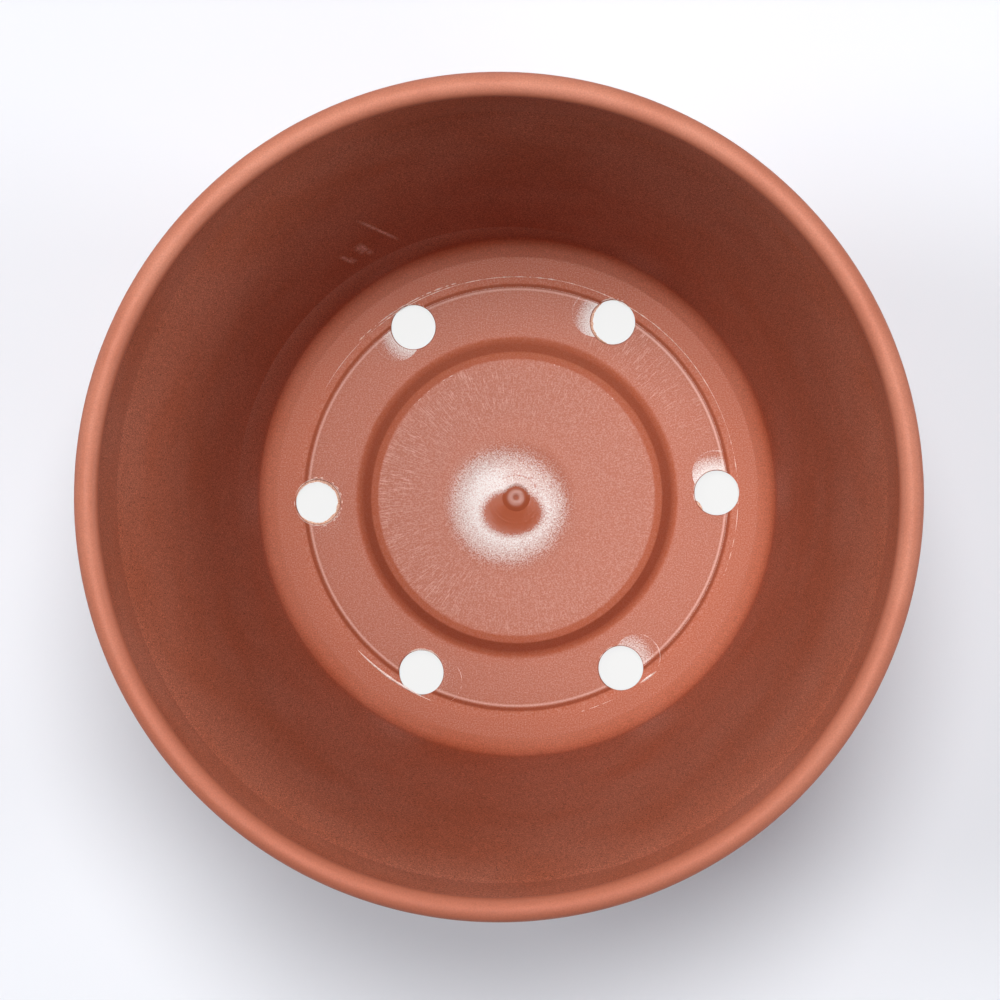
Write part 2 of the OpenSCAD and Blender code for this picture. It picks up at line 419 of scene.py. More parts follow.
def make_blasted():
    material, tree, shader = new_finish("polypropylene_blasted_core", WALL_GLOSS)
    place, outward, radius, height = around_axis(tree)
    normal = add(tree, "ShaderNodeNewGeometry").outputs["Normal"]
    away = add(tree, VECTOR, {0: normal, 1: outward}, operation="DOT_PRODUCT").outputs["Value"]
    within = add(tree, MAP, {"Value": away, "From": FACE_TURN})
    cloud = add(tree, NOISE, {"Vector": place, "Scale": per_mm(WALL_CLOUD), "Detail": 3.0})
    cloudy = add(tree, MAP, {"Value": within, "To": (OUTSIDE_CLOUD * WALL_CLOUD_SHARE, WALL_CLOUD_SHARE)})
    shade = add(tree, MAP, {"Value": cloud, "From": WALL_CLOUD_RANGE, "To": (0.0, cloudy)})
    blasted = add(tree, MAP, {"Value": height, "From": (floor_z + BLAST_START, floor_z + BLAST_FULL)},
                  **SMOOTH)
    # The heel starts in the shelf's colour with its painted sheen and fades to its own
    off_shelf = add(tree, MAP, {"Value": radius, "From": (heel_in_r, heel_in_r + HEEL_FADE)})
    foot = add(tree, MIX,
               {"Factor": off_shelf, "A": linear(TERRACOTTA_SHELF_SHEEN), "B": linear(TERRACOTTA_HEEL)}, **COLOUR)
    body = add(tree, MIX, {"Factor": blasted, "A": foot, "B": linear(TERRACOTTA_MATTE)}, **COLOUR)
    tone = add(tree, MIX, {"Factor": shade, "A": body, "B": linear(TERRACOTTA_PALE)}, **COLOUR)
    aside = add(tree, MATH, {0: past_hole(tree, outward, 0.0)}, operation="ABSOLUTE")
    near = add(tree, MAP, {"Value": aside, "From": (BLOOM_ANGLE, 0.0), "To": (0.0, BLOOM_SHARE)}, **SMOOTH)
    low = add(tree, MAP, {"Value": height, "From": (BLOOM_TOP, BLOOM_FOOT)}, **SMOOTH)
    bloom = overlap(tree, near, low, blasted)
    wisps = add(tree, NOISE, {"Vector": place, "Scale": per_mm(SCUFF_WISP), "Detail": 3.0})
    torn = add(tree, MAP, {"Value": wisps, "From": SCUFF_TORN})
    ends = add(tree, "ShaderNodeSeparateXYZ", {0: outward})
    angle = add(tree, MATH, {0: ends.outputs["Y"], 1: ends.outputs["X"]}, operation="ARCTAN2")
    # Painted light: a lighter band on the lower wall, towards one side, up to a slanting top
    climb = add(tree, VECTOR, {0: outward, 1: LIT_BAND_CLIMB_SIDE}, operation="DOT_PRODUCT").outputs["Value"]
    top = add(tree, MATH, {0: climb, 1: LIT_BAND_CLIMB, 2: LIT_BAND_TOP}, operation="MULTIPLY_ADD")
    over = add(tree, MATH, {0: height, 1: top}, operation="SUBTRACT")
    begins = add(tree, MAP, {"Value": height, "From": (LIT_BAND_FOOT, top)})
    stops = add(tree, MAP, {"Value": over, "From": (LIT_BAND_EDGE, 0.0)})
    on_side = lean(tree, outward, LIT_BAND_SIDE, LIT_BAND_FACING, (0.0, LIT_BAND_SHARE))
    lit_band = overlap(tree, begins, stops, on_side)
    # The pale marks together with the painted band of light
    pale_and_lit = add(tree, MATH, {0: bloom, 1: lit_band}, operation="MAXIMUM")
    for values in SCUFFS:
        line = overlap(tree, scuff(tree, angle, radius, height, *values), torn)
        pale_and_lit = add(tree, MATH, {0: pale_and_lit, 1: line}, operation="MAXIMUM")
    marks = overlap(tree, pale_and_lit, within)
    colour = add(tree, MIX, {"Factor": marks, "A": tone, "B": linear(TERRACOTTA_PALE)}, **COLOUR)
    grains = speckled(tree, place, colour, WALL_SPECKLE)
    most = add(tree, MAP, {"Value": within, "To": (OUTSIDE_GRAIN, 1.0)})
    grainy = add(tree, MIX,
                 {"Factor": add(tree, MAP, {"Value": blasted, "To": (HEEL_GRAIN, most)}), "A": colour,
                  "B": grains}, **COLOUR)
    grain = add(tree, NOISE, {"Vector": place, "Scale": per_mm(WALL_GRAIN), "Detail": 2.0})
    bump = add(tree, "ShaderNodeBump",
               {"Height": grain, "Distance": WALL_GRAIN_H * MM, "Strength": blasted})
    coarse = add(tree, MAP, {"Value": grain, "From": NOISE_RANGE, "To": WALL_ROUGHNESS})
    link_finish(tree, shader, grainy, coarse, bump)
    return material


matte = make_blasted()
print("made", matte.name)

# %% [markdown]
# ### Satin floor, polished gate and pin marks
#
# The floor of the core was ground and lightly polished. That gives a satin sheen, a fine grain and, on the
# raised disc, thin rub marks that run outwards from the gate. Their scratches are real, and their pale
# colour is painted glint, strongest on one side. Towards the gate the steel was polished bright, so the
# roughness falls with the radius. The level faces get a paler colour, a painted sheen, which the step and
# the channel's side don't get. The real grain is finer than a pixel, so it is drawn coarser, and pale
# grains in the colour are painted glints of the sheen.
#
# Two places are whiter. Round the gate the colour is whitened, partly a blush of the plastic and partly a
# painted highlight: the polished dome's mirror image of the lamp, broken by its grain. A darker patch
# beside the gate is left out of it, where the mirrored camera hides the lamp. The ejector pins have
# spark-eroded ends, which leave a frosted crescent at each hole, plainest on one side of the pot. Each of
# the two is a small function that the floor's finish takes along.

# %% Polypropylene from a ground core, with its whiter places
FLOOR_GLOSS = 0.3
SATIN_ROUGHNESS = 0.4
ROUGHNESS_UNEVEN = 0.03
GATE_ROUGHNESS = 0.1
POLISH_R = 9.0
POLISH_END_R = 17.0
FLOOR_GRAIN = 0.4
FLOOR_GRAIN_H = 0.010
GATE_GRAIN_H = 0.014
FLOOR_CLOUD = 14.0
RUB_MARKS = 900
RUB_LENGTH = 2.7
# Rub marks: real scratches, painted pale as the glints they catch, more on one side of disc and ring
RUB_GLINT_SIDE = towards(170)
RUB_GLINT_FACING = (-0.8, 0.9)
RUB_GLINT_SHARE = (0.15, 0.62)
RUB_THIN = (0.54, 0.68)
RUB_PATCHY = (0.35, 0.6)
RUB_PATCH_LEAST = 0.35
RUB_DEPTH = 0.5
RUB_START_R = 24.0
STEP_IN_R = 32.0
STEP_OUT_R = 37.5
STEP_SOFT = 0.3
TROUGH_CLEAR = 0.5
RING_RUB_GLINT_SIDE = towards(45)
RING_RUB_GLINT_FACING = (0.85, 1.0)
RING_RUB_IN = 3.0
RING_RUB_OUT = 1.0
RING_RUB_GLINT = 0.75
# Painted sheen: level faces are paler, the disc most, ring and shelf less
SHEEN_START_R = 8.0
SHEEN_FULL_R = 15.0
RING_SHEEN = 0.75
SHELF_SHEEN = 0.08
# Painted glints: pale grains in the floor's colour, from the gate outwards
GLINT_START_R = 7.0
GLINT_R = 15.0
GLINT_SHARE = (0.45, 0.42)
GLINT_CELLS = (0.4, 0.75)
EDGE_WEAR = (0.65, 0.85)
EDGE_WEAR_FACING = (0.3, 1.0)
EDGE_WEAR_SIDE = towards(25)
EDGE_WEAR_IN = 0.42
EDGE_WEAR_W = 0.45
# The white of the frosted pin marks, and of the blush and painted highlight round the gate
WHITENED_AND_HIGHLIGHT = "#faf8f6"
SPARKLE = 2.0
SPARKLE_START = 0.05
SPARKLE_FULL = 1.1
SPARKLE_RIM = 0.35
# Blush and painted highlight round the gate; the patch is left out where the mirrored camera hides the lamp
GATE_BLUSH_AND_HIGHLIGHT = 0.97
BOSS_HIGHLIGHT = 0.22
BOSS_HIGHLIGHT_R = 1.2
BLUSH_HIGHLIGHT_WEAK = 0.6
BOSS_CLEAR_R = (2.3, 2.9)
WITNESS_R = (5.15, 6.0)
WITNESS_W = 0.3
# Painted shade along the witness grooves, where they break the painted highlight on one side
WITNESS_SHADE = 0.45
WITNESS_SIDE = towards(65)
WITNESS_FACING = (0.4, 0.9)
BLUSH_HIGHLIGHT_FACING = (0.2, 0.9)
BLUSH_HIGHLIGHT_MIDDLE = (-1.9, -1.6, 0.0)
BLUSH_HIGHLIGHT_R = 12.0
BLUSH_HIGHLIGHT_SOFT = 4.9
PATCH_MIDDLE = (-0.9, -3.6, 0.0)
PATCH_HALF = (7.3, 5.5, 1.0)
PATCH_EDGE = (0.76, 1.2)
PIN_R = 5.4
PIN_TURN = math.radians(5.6)
PIN_SIDE = towards(40)
PIN_CRESCENT_W = 4.2
PIN_FACING = (-0.26, 0.15)
PIN_PLAIN = (0.15, 1.1)
PIN_OUTLINE_W = 0.5
PIN_OUTLINE = 0.35
PIN_WHITE = 0.9


def sparkle(tree, shape, cells, most):
    """The white in a shape of values up to 1: even in its middle, and single grains towards its edge."""
    level = add(tree, MATH, {0: cells, 1: SPARKLE, 2: shape}, operation="MULTIPLY_ADD")
    within = add(tree, MAP, {"Value": shape, "From": (0.0, SPARKLE_RIM), "To": (0.0, most)})
    return add(tree, MAP,
               {"Value": level, "From": (SPARKLE / 2 + SPARKLE_START, SPARKLE / 2 + SPARKLE_FULL),
                "To": (0.0, within)})


def gate_blush_and_highlight(tree, place, outward, radius, cells):
    """Blush and painted highlight round the gate: a ring with a darker patch in it, without the boss."""
    spot = add(tree, VECTOR, {0: place, 1: (1 / MM, 1 / MM, 0)}, operation="MULTIPLY")
    from_patch = add(tree, VECTOR, {0: spot, 1: PATCH_MIDDLE}, operation="SUBTRACT")
    oval = add(tree, VECTOR, {0: from_patch, 1: PATCH_HALF}, operation="DIVIDE")
    oval_reach = add(tree, VECTOR, {0: oval}, operation="LENGTH").outputs["Value"]
    patch = add(tree, MAP, {"Value": oval_reach, "From": PATCH_EDGE}, **SMOOTH)
    from_middle = add(tree, VECTOR, {0: spot, 1: BLUSH_HIGHLIGHT_MIDDLE}, operation="DISTANCE").outputs["Value"]
    ring = add(tree, MAP, {"Value": from_middle, "From": (BLUSH_HIGHLIGHT_R + BLUSH_HIGHLIGHT_SOFT, BLUSH_HIGHLIGHT_R - BLUSH_HIGHLIGHT_SOFT)},
               **SMOOTH)
    off_boss = add(tree, MAP, {"Value": radius, "From": BOSS_CLEAR_R})
    # Painted shade: the witness grooves darken the painted highlight, more on one side
    facing = add(tree, VECTOR, {0: outward, 1: WITNESS_SIDE}, operation="DOT_PRODUCT").outputs["Value"]
    shade = add(tree, MAP, {"Value": facing, "From": WITNESS_FACING, "To": (1.0, WITNESS_SHADE)})
    beside = apart(tree, radius, WITNESS_R[0])
    groove = add(tree, MAP, {"Value": beside, "From": (0.0, WITNESS_W), "To": (shade, 1.0)})
    lined = overlap(tree, patch, ring, groove)
    # The painted highlight is weaker on one side
    weaker = add(tree, MAP, {"Value": facing, "From": BLUSH_HIGHLIGHT_FACING, "To": (1.0, BLUSH_HIGHLIGHT_WEAK)})
    around = overlap(tree, lined, overlap(tree, off_boss, weaker))
    # Painted highlight: a pale ring on the boss's top
    on_top = apart(tree, radius, BOSS_HIGHLIGHT_R)
    boss = add(tree, MAP, {"Value": on_top, "From": (BOSS_HIGHLIGHT_R, 0.0), "To": (0.0, BOSS_HIGHLIGHT)})
    return add(tree, MATH, {0: sparkle(tree, around, cells, GATE_BLUSH_AND_HIGHLIGHT), 1: boss}, operation="MAXIMUM")


def pin_frost(tree, place, outward, radius, cells):
    """How white a pin mark is: most next to the hole and along the mark's own outline."""
    from_hole = hole_reach(tree, outward, radius, 0.0)
    from_pin = hole_reach(tree, outward, radius, PIN_TURN)
    crescent = add(tree, MAP, {"Value": from_hole, "From": (hole_r + PIN_CRESCENT_W, hole_r)})
    outline = add(tree, MAP,
                  {"Value": from_pin, "From": (PIN_R - PIN_OUTLINE_W, PIN_R), "To": (0.0, PIN_OUTLINE)})
    side = lean(tree, outward, PIN_SIDE, PIN_FACING, PIN_PLAIN)
    plain = add(tree, MATH, {0: crescent, 1: outline}, operation="MAXIMUM")
    return sparkle(tree, overlap(tree, plain, side), cells, PIN_WHITE)


def floor_relief(tree, place, radius, marks):
    """The fine grain of ground steel with the rub marks in it, deeper towards the gate, as a bump."""
    grain = add(tree, NOISE, {"Vector": place, "Scale": per_mm(FLOOR_GRAIN), "Detail": 2.0})
    relief = add(tree, MATH, {0: marks, 1: RUB_DEPTH, 2: grain}, operation="MULTIPLY_ADD")
    depth = add(tree, MAP,
                {"Value": radius, "From": (POLISH_R, POLISH_END_R),
                 "To": (GATE_GRAIN_H * MM, FLOOR_GRAIN_H * MM)})
    return add(tree, "ShaderNodeBump", {"Height": relief, "Distance": depth})


def between(tree, value, low, high):
    """1 where a value lies between two limits, with soft ends, and 0 outside."""
    above = add(tree, MAP, {"Value": value, "From": (low - STEP_SOFT, low + STEP_SOFT)})
    below = add(tree, MAP, {"Value": value, "From": (high + STEP_SOFT, high - STEP_SOFT)})
    return overlap(tree, above, below)


def level_sheen(tree, radius):
    """Painted sheen: all over the disc, less on ring and shelf, none at the gate or on the step."""
    begins = add(tree, MAP, {"Value": radius, "From": (SHEEN_START_R, SHEEN_FULL_R)})
    disc = overlap(tree, begins, between(tree, radius, 0.0, STEP_IN_R))
    ring = add(tree, MATH, {0: between(tree, radius, STEP_OUT_R, ring_edge_r), 1: RING_SHEEN, 2: disc},
               operation="MULTIPLY_ADD")
    shelf = between(tree, radius, crease.x, heel_in_r)
    return add(tree, MATH, {0: shelf, 1: SHELF_SHEEN, 2: ring}, operation="MULTIPLY_ADD")


def make_core(name, white_and_highlight=None):
    material, tree, shader = new_finish(name, FLOOR_GLOSS)
    place, outward, radius, _ = around_axis(tree)
    cloud = add(tree, NOISE, {"Vector": place, "Scale": per_mm(FLOOR_CLOUD), "Detail": 4.0})
    marks = streaks(tree, outward, radius, RUB_MARKS, RUB_LENGTH)
    thin = add(tree, MAP, {"Value": marks, "From": RUB_THIN})
    # The pale of the rub marks is painted glint: more on one side of the disc, and on the ring towards
    # another
    side = lean(tree, outward, RUB_GLINT_SIDE, RUB_GLINT_FACING, RUB_GLINT_SHARE)
    patchy = add(tree, MAP, {"Value": cloud, "From": RUB_PATCHY, "To": (RUB_PATCH_LEAST, 1.0)})
    begins = add(tree, MAP, {"Value": radius, "From": (POLISH_R, RUB_START_R)})
    ends = add(tree, MAP, {"Value": radius, "From": (STEP_IN_R + STEP_SOFT, STEP_IN_R - STEP_SOFT)})
    on_disc = overlap(tree, begins, ends, side)
    ring_side = lean(tree, outward, RING_RUB_GLINT_SIDE, RING_RUB_GLINT_FACING, (0.0, RING_RUB_GLINT))
    past_step = add(tree, MAP, {"Value": radius, "From": (STEP_OUT_R, STEP_OUT_R + RING_RUB_IN)})
    up_to_edge = add(tree, MAP, {"Value": radius, "From": (ring_edge_r, ring_edge_r - RING_RUB_OUT)})
    on_ring = overlap(tree, past_step, up_to_edge)
    zone = add(tree, MATH, {0: on_ring, 1: ring_side, 2: on_disc}, operation="MULTIPLY_ADD")
    rub_glints = overlap(tree, thin, overlap(tree, patchy, zone))
    # Painted glints: pale grains, fewer at the gate and on the step and the channel's side, where the sheen
    # is lost
    cells = add(tree, NOISE, {"Vector": place, "Scale": per_mm(SPECKLE), "Detail": 2.0})
    most = add(tree, MAP, {"Value": radius, "From": (GLINT_R, heel_in_r), "To": GLINT_SHARE})
    full = add(tree, MAP, {"Value": cells, "From": GLINT_CELLS, "To": (0.0, most)})
    grows = add(tree, MAP, {"Value": radius, "From": (GLINT_START_R, GLINT_R)})
    all_over = overlap(tree, full, grows)
    trough = add(tree, MATH,
                 {0: between(tree, radius, STEP_IN_R, STEP_OUT_R),
                  1: between(tree, radius, ring_edge_r, crease.x)}, operation="MAXIMUM")
    kept = add(tree, MAP, {"Value": trough, "To": (1.0, 1 - TROUGH_CLEAR)})
    glints = overlap(tree, all_over, kept)
    off_line = apart(tree, radius, ring_edge_r - EDGE_WEAR_IN)
    wear = lean(tree, outward, EDGE_WEAR_SIDE, EDGE_WEAR_FACING, EDGE_WEAR)
    edge = add(tree, MAP, {"Value": off_line, "From": (EDGE_WEAR_W, 0.0), "To": (0.0, wear)}, **SMOOTH)
    # Rub marks with their painted glints, and the painted glints of the grain
    rubs_and_glints = add(tree, MATH, {0: rub_glints, 1: glints}, operation="ADD")
    pale_and_lit = add(tree, MATH, {0: rubs_and_glints, 1: edge}, operation="ADD")
    # Painted sheen: the level faces get the paler terracotta
    clear = add(tree, MIX,
                {"Factor": level_sheen(tree, radius), "A": linear(TERRACOTTA), "B": linear(TERRACOTTA_SHEEN)},
                **COLOUR)
    colour = add(tree, MIX, {"Factor": pale_and_lit, "A": clear, "B": linear(TERRACOTTA_PALE)}, **COLOUR)
    # Round the gate this adds blush and painted highlight; at the pins, frost
    if white_and_highlight:
        white = white_and_highlight(tree, place, outward, radius, cells)
        colour = add(tree, MIX, {"Factor": white, "A": colour, "B": linear(WHITENED_AND_HIGHLIGHT)}, **COLOUR)
    base = add(tree, MAP,
               {"Value": radius, "From": (POLISH_R, POLISH_END_R), "To": (GATE_ROUGHNESS, SATIN_ROUGHNESS)},
               **SMOOTH)
    uneven = add(tree, MAP,
                 {"Value": cloud, "From": NOISE_RANGE, "To": (-ROUGHNESS_UNEVEN, ROUGHNESS_UNEVEN)})
    rough = add(tree, MATH, {0: base, 1: uneven}, operation="ADD")
    link_finish(tree, shader, colour, rough, floor_relief(tree, place, radius, marks))
    return material


satin = make_core("polypropylene_satin_core")
polished = make_core("polypropylene_polished_gate", gate_blush_and_highlight)
eroded = make_core("polypropylene_eroded_pin", pin_frost)
print("made", satin.name, polished.name, eroded.name)

# %% [markdown]
# ### Rim and flash
#
# The bead comes from a turned ring of steel: smooth, with a broad soft gloss. Along its crest the colour is
# paler, partly rubbed and partly a painted sheen, most on the side towards the key lamp. Flash is plastic
# that crept into the gaps of the mould. A fin of it is so thin that light passes into it, and it looks
# nearly white; a skin in a hole is thicker and looks tan.

# %% Polypropylene from a turned ring and from mould gaps
RIM_COLOUR = "#a35c45"
RIM_PALE_SHEEN = "#dd9a80"
RIM_GLOSS = 0.5
RIM_ROUGHNESS = (0.44, 0.56)
RIM_SPECKLE = 0.15
# The crest is paler, partly worn and partly painted sheen, most on the side towards the key lamp
CREST_H = 1.4
CREST_WEAR_AND_SHEEN = 0.55
CREST_LIT_SIDE = towards(75)
CREST_FACING = (-1.0, 0.4)
FLASH_GRAIN = 0.3
FLASH_GRAIN_H = 0.03
FLASH_THIN = (0.35, 0.6)
FLASH_ROUGHNESS = (0.2, 0.4)
FIN_COLOURS = ("#efcdbd", "#fff4ee")
SKIN_COLOURS = ("#c98c6c", "#ecc4aa")


def make_turned():
    material, tree, shader = new_finish("polypropylene_turned_ring", RIM_GLOSS)
    place, outward, _, height = around_axis(tree)
    # Wear and painted sheen: the crest is paler, most on the side towards the key lamp
    most = lean(tree, outward, CREST_LIT_SIDE, CREST_FACING, (0.0, CREST_WEAR_AND_SHEEN))
    crest = add(tree, MAP, {"Value": height, "From": (rim_top - CREST_H, rim_top), "To": (0.0, most)})
    cloud = add(tree, NOISE, {"Vector": place, "Scale": per_mm(FLOOR_CLOUD), "Detail": 4.0})
    worn_and_lit = overlap(tree, crest, cloud)
    colour = add(tree, MIX, {"Factor": worn_and_lit, "A": linear(RIM_COLOUR), "B": linear(RIM_PALE_SHEEN)}, **COLOUR)
    grain = add(tree, NOISE, {"Vector": place, "Scale": per_mm(FLOOR_GRAIN), "Detail": 2.0})
    bump = add(tree, "ShaderNodeBump", {"Height": grain, "Distance": FLOOR_GRAIN_H * MM})
    rough = add(tree, MAP, {"Value": cloud, "From": NOISE_RANGE, "To": RIM_ROUGHNESS})
    link_finish(tree, shader, speckled(tree, place, colour, RIM_SPECKLE), rough, bump)
    return material


def make_flash(name, colours):
    material, tree, shader = new_finish(name, 1.0)
    place = add(tree, "ShaderNodeTexCoord").outputs["Object"]
    grain = add(tree, NOISE, {"Vector": place, "Scale": per_mm(FLASH_GRAIN), "Detail": 2.0})
    thin = add(tree, MAP, {"Value": grain, "From": FLASH_THIN})
    colour = add(tree, MIX, {"Factor": thin, "A": linear(colours[0]), "B": linear(colours[1])}, **COLOUR)
    bump = add(tree, "ShaderNodeBump", {"Height": grain, "Distance": FLASH_GRAIN_H * MM})
    rough = add(tree, MAP, {"Value": grain, "To": FLASH_ROUGHNESS})
    link_finish(tree, shader, colour, rough, bump)
    return material


turned = make_turned()
thin_flash = make_flash("polypropylene_flash_fin", FIN_COLOURS)
thick_flash = make_flash("polypropylene_flash_skin", SKIN_COLOURS)
print("made", turned.name, thin_flash.name, thick_flash.name)

# %% [markdown]
# ## A lathe in Geometry Nodes
#
# A ring follows one rule: its section is carried round the axis. A Spin operator or a Screw modifier would
# do it, but a geometry tree shows the rule and gives every ring the same angular divisions, so that
# neighbours meet point to point. The section is the object's own mesh; a grid takes one column from each of
# its points and one row from each step of the turn.

# %% The lathe tree
SEGMENTS = 360
SHARP = math.radians(28)
WELD = 1e-3


def socket(tree, name, kind, value=None):
    """Adds a named input to a geometry tree."""
    made = tree.interface.new_socket(name, in_out="INPUT", socket_type=kind)
    if value is not None:
        made.default_value = value
    return made


def new_geometry_tree(name):
    tree = bpy.data.node_groups.new(name, "GeometryNodeTree")
    tree.interface.new_socket("Geometry", in_out="INPUT", socket_type="NodeSocketGeometry")
    tree.interface.new_socket("Geometry", in_out="OUTPUT", socket_type="NodeSocketGeometry")
    return tree


def end_tree(tree, geometry, material):
    """Ends a tree: faces smooth up to the sharp angle, instances real, one material."""
    angle = add(tree, "GeometryNodeInputMeshEdgeAngle")
    is_sharp = add(tree, "FunctionNodeCompare", {0: angle.outputs["Unsigned Angle"], 1: SHARP},
                   data_type="FLOAT", operation="GREATER_THAN")
    smooth = add(tree, "GeometryNodeSetShadeSmooth", {"Geometry": geometry, "Shade Smooth": True},
                 domain="FACE")
    edges = add(tree, "GeometryNodeSetShadeSmooth",
                {"Geometry": smooth, "Selection": is_sharp, "Shade Smooth": False}, domain="EDGE")
    real = add(tree, "GeometryNodeRealizeInstances", {"Geometry": edges})
    dressed = add(tree, "GeometryNodeSetMaterial", {"Geometry": real, "Material": material})
    return dressed


def lathe_nodes(tree, section, segments):
    """Turns a section, points in the XZ plane in order, into a closed ring."""
    size = add(tree, "GeometryNodeAttributeDomainSize", {"Geometry": section}, component="MESH")
    columns = add(tree, "FunctionNodeIntegerMath", {0: size.outputs["Point Count"], 1: 1}, operation="ADD")
    rows = add(tree, "FunctionNodeIntegerMath", {0: segments, 1: 1}, operation="ADD")
    grid = add(tree, "GeometryNodeMeshGrid", {"Vertices X": columns, "Vertices Y": rows})
    index = add(tree, "GeometryNodeInputIndex")
    column = add(tree, "FunctionNodeIntegerMath", {0: index, 1: rows}, operation="DIVIDE_FLOOR")
    row = add(tree, "FunctionNodeIntegerMath", {0: index, 1: rows}, operation="MODULO")
    wrapped = add(tree, "FunctionNodeIntegerMath", {0: column, 1: size.outputs["Point Count"]},
                  operation="MODULO")
    place = add(tree, "GeometryNodeInputPosition")
    sampled = add(tree, "GeometryNodeSampleIndex", {"Geometry": section, "Value": place, "Index": wrapped},
                  data_type="FLOAT_VECTOR", domain="POINT")
    share = add(tree, MATH, {0: row, 1: segments}, operation="DIVIDE")
    angle = add(tree, MATH, {0: share, 1: -2 * math.pi}, operation="MULTIPLY")
    spun = add(tree, "ShaderNodeVectorRotate", {"Vector": sampled, "Angle": angle}, rotation_type="Z_AXIS")
    ring = add(tree, "GeometryNodeSetPosition", {"Geometry": grid, "Position": spun})
    welded = add(tree, "GeometryNodeMergeByDistance", {"Geometry": ring, "Distance": WELD * MM})
    return welded


lathe = new_geometry_tree("lathe")
socket(lathe, "Segments", "NodeSocketInt", SEGMENTS)
socket(lathe, "Material", "NodeSocketMaterial")
given = lathe.nodes.new("NodeGroupInput")
turned_ring = lathe_nodes(lathe, given.outputs["Geometry"], given.outputs["Segments"])
finished = end_tree(lathe, turned_ring, given.outputs["Material"])
add(lathe, "NodeGroupOutput", {"Geometry": finished})
print("lathe tree:", len(lathe.nodes), "nodes")


# %% Running a tree and keeping its mesh
def new_object(name, data):
    """A new object in the scene."""
    made = bpy.data.objects.new(name, data)
    bpy.context.scene.collection.objects.link(made)
    return made


def run_tree(name, tree, points, values):
    """A new object with a plain mesh: the tree's result on a mesh of the given points, in millimetres."""
    start = bpy.data.meshes.new(name + "_section")
    start.from_pydata([Vector(p) * MM for p in points], [], [])
    maker = new_object(name + "_maker", start)
    modifier = maker.modifiers.new("tree", "NODES")
    modifier.node_group = tree
    for item in tree.interface.items_tree:
        if item.in_out == "INPUT" and item.name in values:
            modifier[item.identifier] = values[item.name]
    graph = bpy.context.evaluated_depsgraph_get()
    mesh = bpy.data.meshes.new_from_object(maker.evaluated_get(graph), depsgraph=graph)
    bpy.data.objects.remove(maker)
    mesh.name = name
    return new_object(name, mesh)


def settle(piece, node):
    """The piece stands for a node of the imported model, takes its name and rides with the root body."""
    frame["nodes"][node].name = node + "_cad"
    piece.name = node
    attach(piece, "root")
    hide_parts(node)
    print(f"{node}: {len(piece.data.vertices)} points, {len(piece.data.polygons)} faces")
    return piece


def turn_ring(node, outline, material):
    """Makes one ring from its outline, drawn counter-clockwise in radius and height."""
    section = [(p.x, 0, p.y) for p in without_doubles(outline)]
    piece = run_tree(node + "_ring", lathe, section, {"Segments": SEGMENTS, "Material": material})
    return settle(piece, node)


# %% [markdown]
# ## Rim bead and collar
#
# The bead around the mouth is a half oval on a short skirt, and it rolls over the collar's inner face a
# little. The collar's top seats in it, and a flat ledge is left outside the collar, which carries the pot
# in a tray. The lower outer edges are rounded, as steel cutters leave them.

# %% Bead
BEAD_EDGE_R = 0.6
BEAD_ROLL = 0.75
bead_rise = (rim_r - mouth_r) / 2
bead_half = (rim_r - mouth_r + BEAD_ROLL) / 2
bead_centre = point(rim_r - bead_half, rim_top - bead_rise)
roll_end = math.pi + math.acos((bead_centre.x - mouth_r) / bead_half)
bead_edge = arc(point(rim_r - BEAD_EDGE_R, ledge_z + BEAD_EDGE_R), BEAD_EDGE_R, -math.pi / 2, 0)
bead_foot = polyline(point(mouth_r, seat_z), point(collar_out_r, seat_z), point(collar_out_r, ledge_z),
                     bead_edge[0])
bead_round = [point(bead_centre.x + bead_half * p.x,
                    bead_centre.y + bead_rise * p.y) for p in arc(point(0, 0), 1, 0, roll_end)]
turn_ring("rim_bead", bead_foot + bead_edge + bead_round, turned)

# %% Collar
COLLAR_EDGE_R = 0.5
collar_out_foot = collar_foot.x + collar_wall
collar_edge_centre = point(collar_out_foot - COLLAR_EDGE_R, collar_foot.y + COLLAR_EDGE_R)
collar_edge = arc(collar_edge_centre, COLLAR_EDGE_R, -math.pi / 2, 0)
collar_inside = polyline(point(mouth_r, seat_z), point(mouth_r, ledge_z), collar_foot, collar_edge[0])
collar_outside = polyline(collar_edge[-1], point(collar_out_r, ledge_z), point(collar_out_r, seat_z))
collar_top = polyline(point(collar_out_r, seat_z), point(mouth_r, seat_z))
turn_ring("collar", collar_inside + collar_edge + collar_outside + collar_top, matte)

# %% [markdown]
# ## Shoulder, side wall and heel
#
# Under the collar the inside steps in by less than a millimetre on a long slope, then the wall runs
# straight down to the heel. Inside, the heel leaves the floor almost level and turns up tightly into the
# wall. Its outer face is one arc from the floor to the wall, so that radius follows from the two end
# points.

# %% Shoulder and side wall
SHOULDER_SLOPE_H = 3.0
wall_in_top = corner("side_wall", -TIE, 1)
wall_out_top = corner("side_wall", TIE, 1)
wall_in_foot = corner("side_wall", -1, 0)
wall_out_foot = corner("side_wall", 0, -1)
shoulder_out = corner("shoulder", TIE, 1)
slope_end_z = collar_foot.y - SHOULDER_SLOPE_H
wall_lean = (wall_in_top.x - wall_in_foot.x) / (wall_in_top.y - wall_in_foot.y)
slope_end = point(wall_in_foot.x + (slope_end_z - wall_in_foot.y) * wall_lean, slope_end_z)
shoulder_line = polyline(collar_foot, slope_end, wall_in_top, wall_out_top, shoulder_out, collar_foot)
turn_ring("shoulder", shoulder_line, matte)
wall_line = polyline(wall_in_top, wall_in_foot, wall_out_foot, wall_out_top, wall_in_top)
turn_ring("side_wall", wall_line, matte)
print(f"the wall leans out by {math.degrees(math.atan(wall_lean)):.2f} degrees")

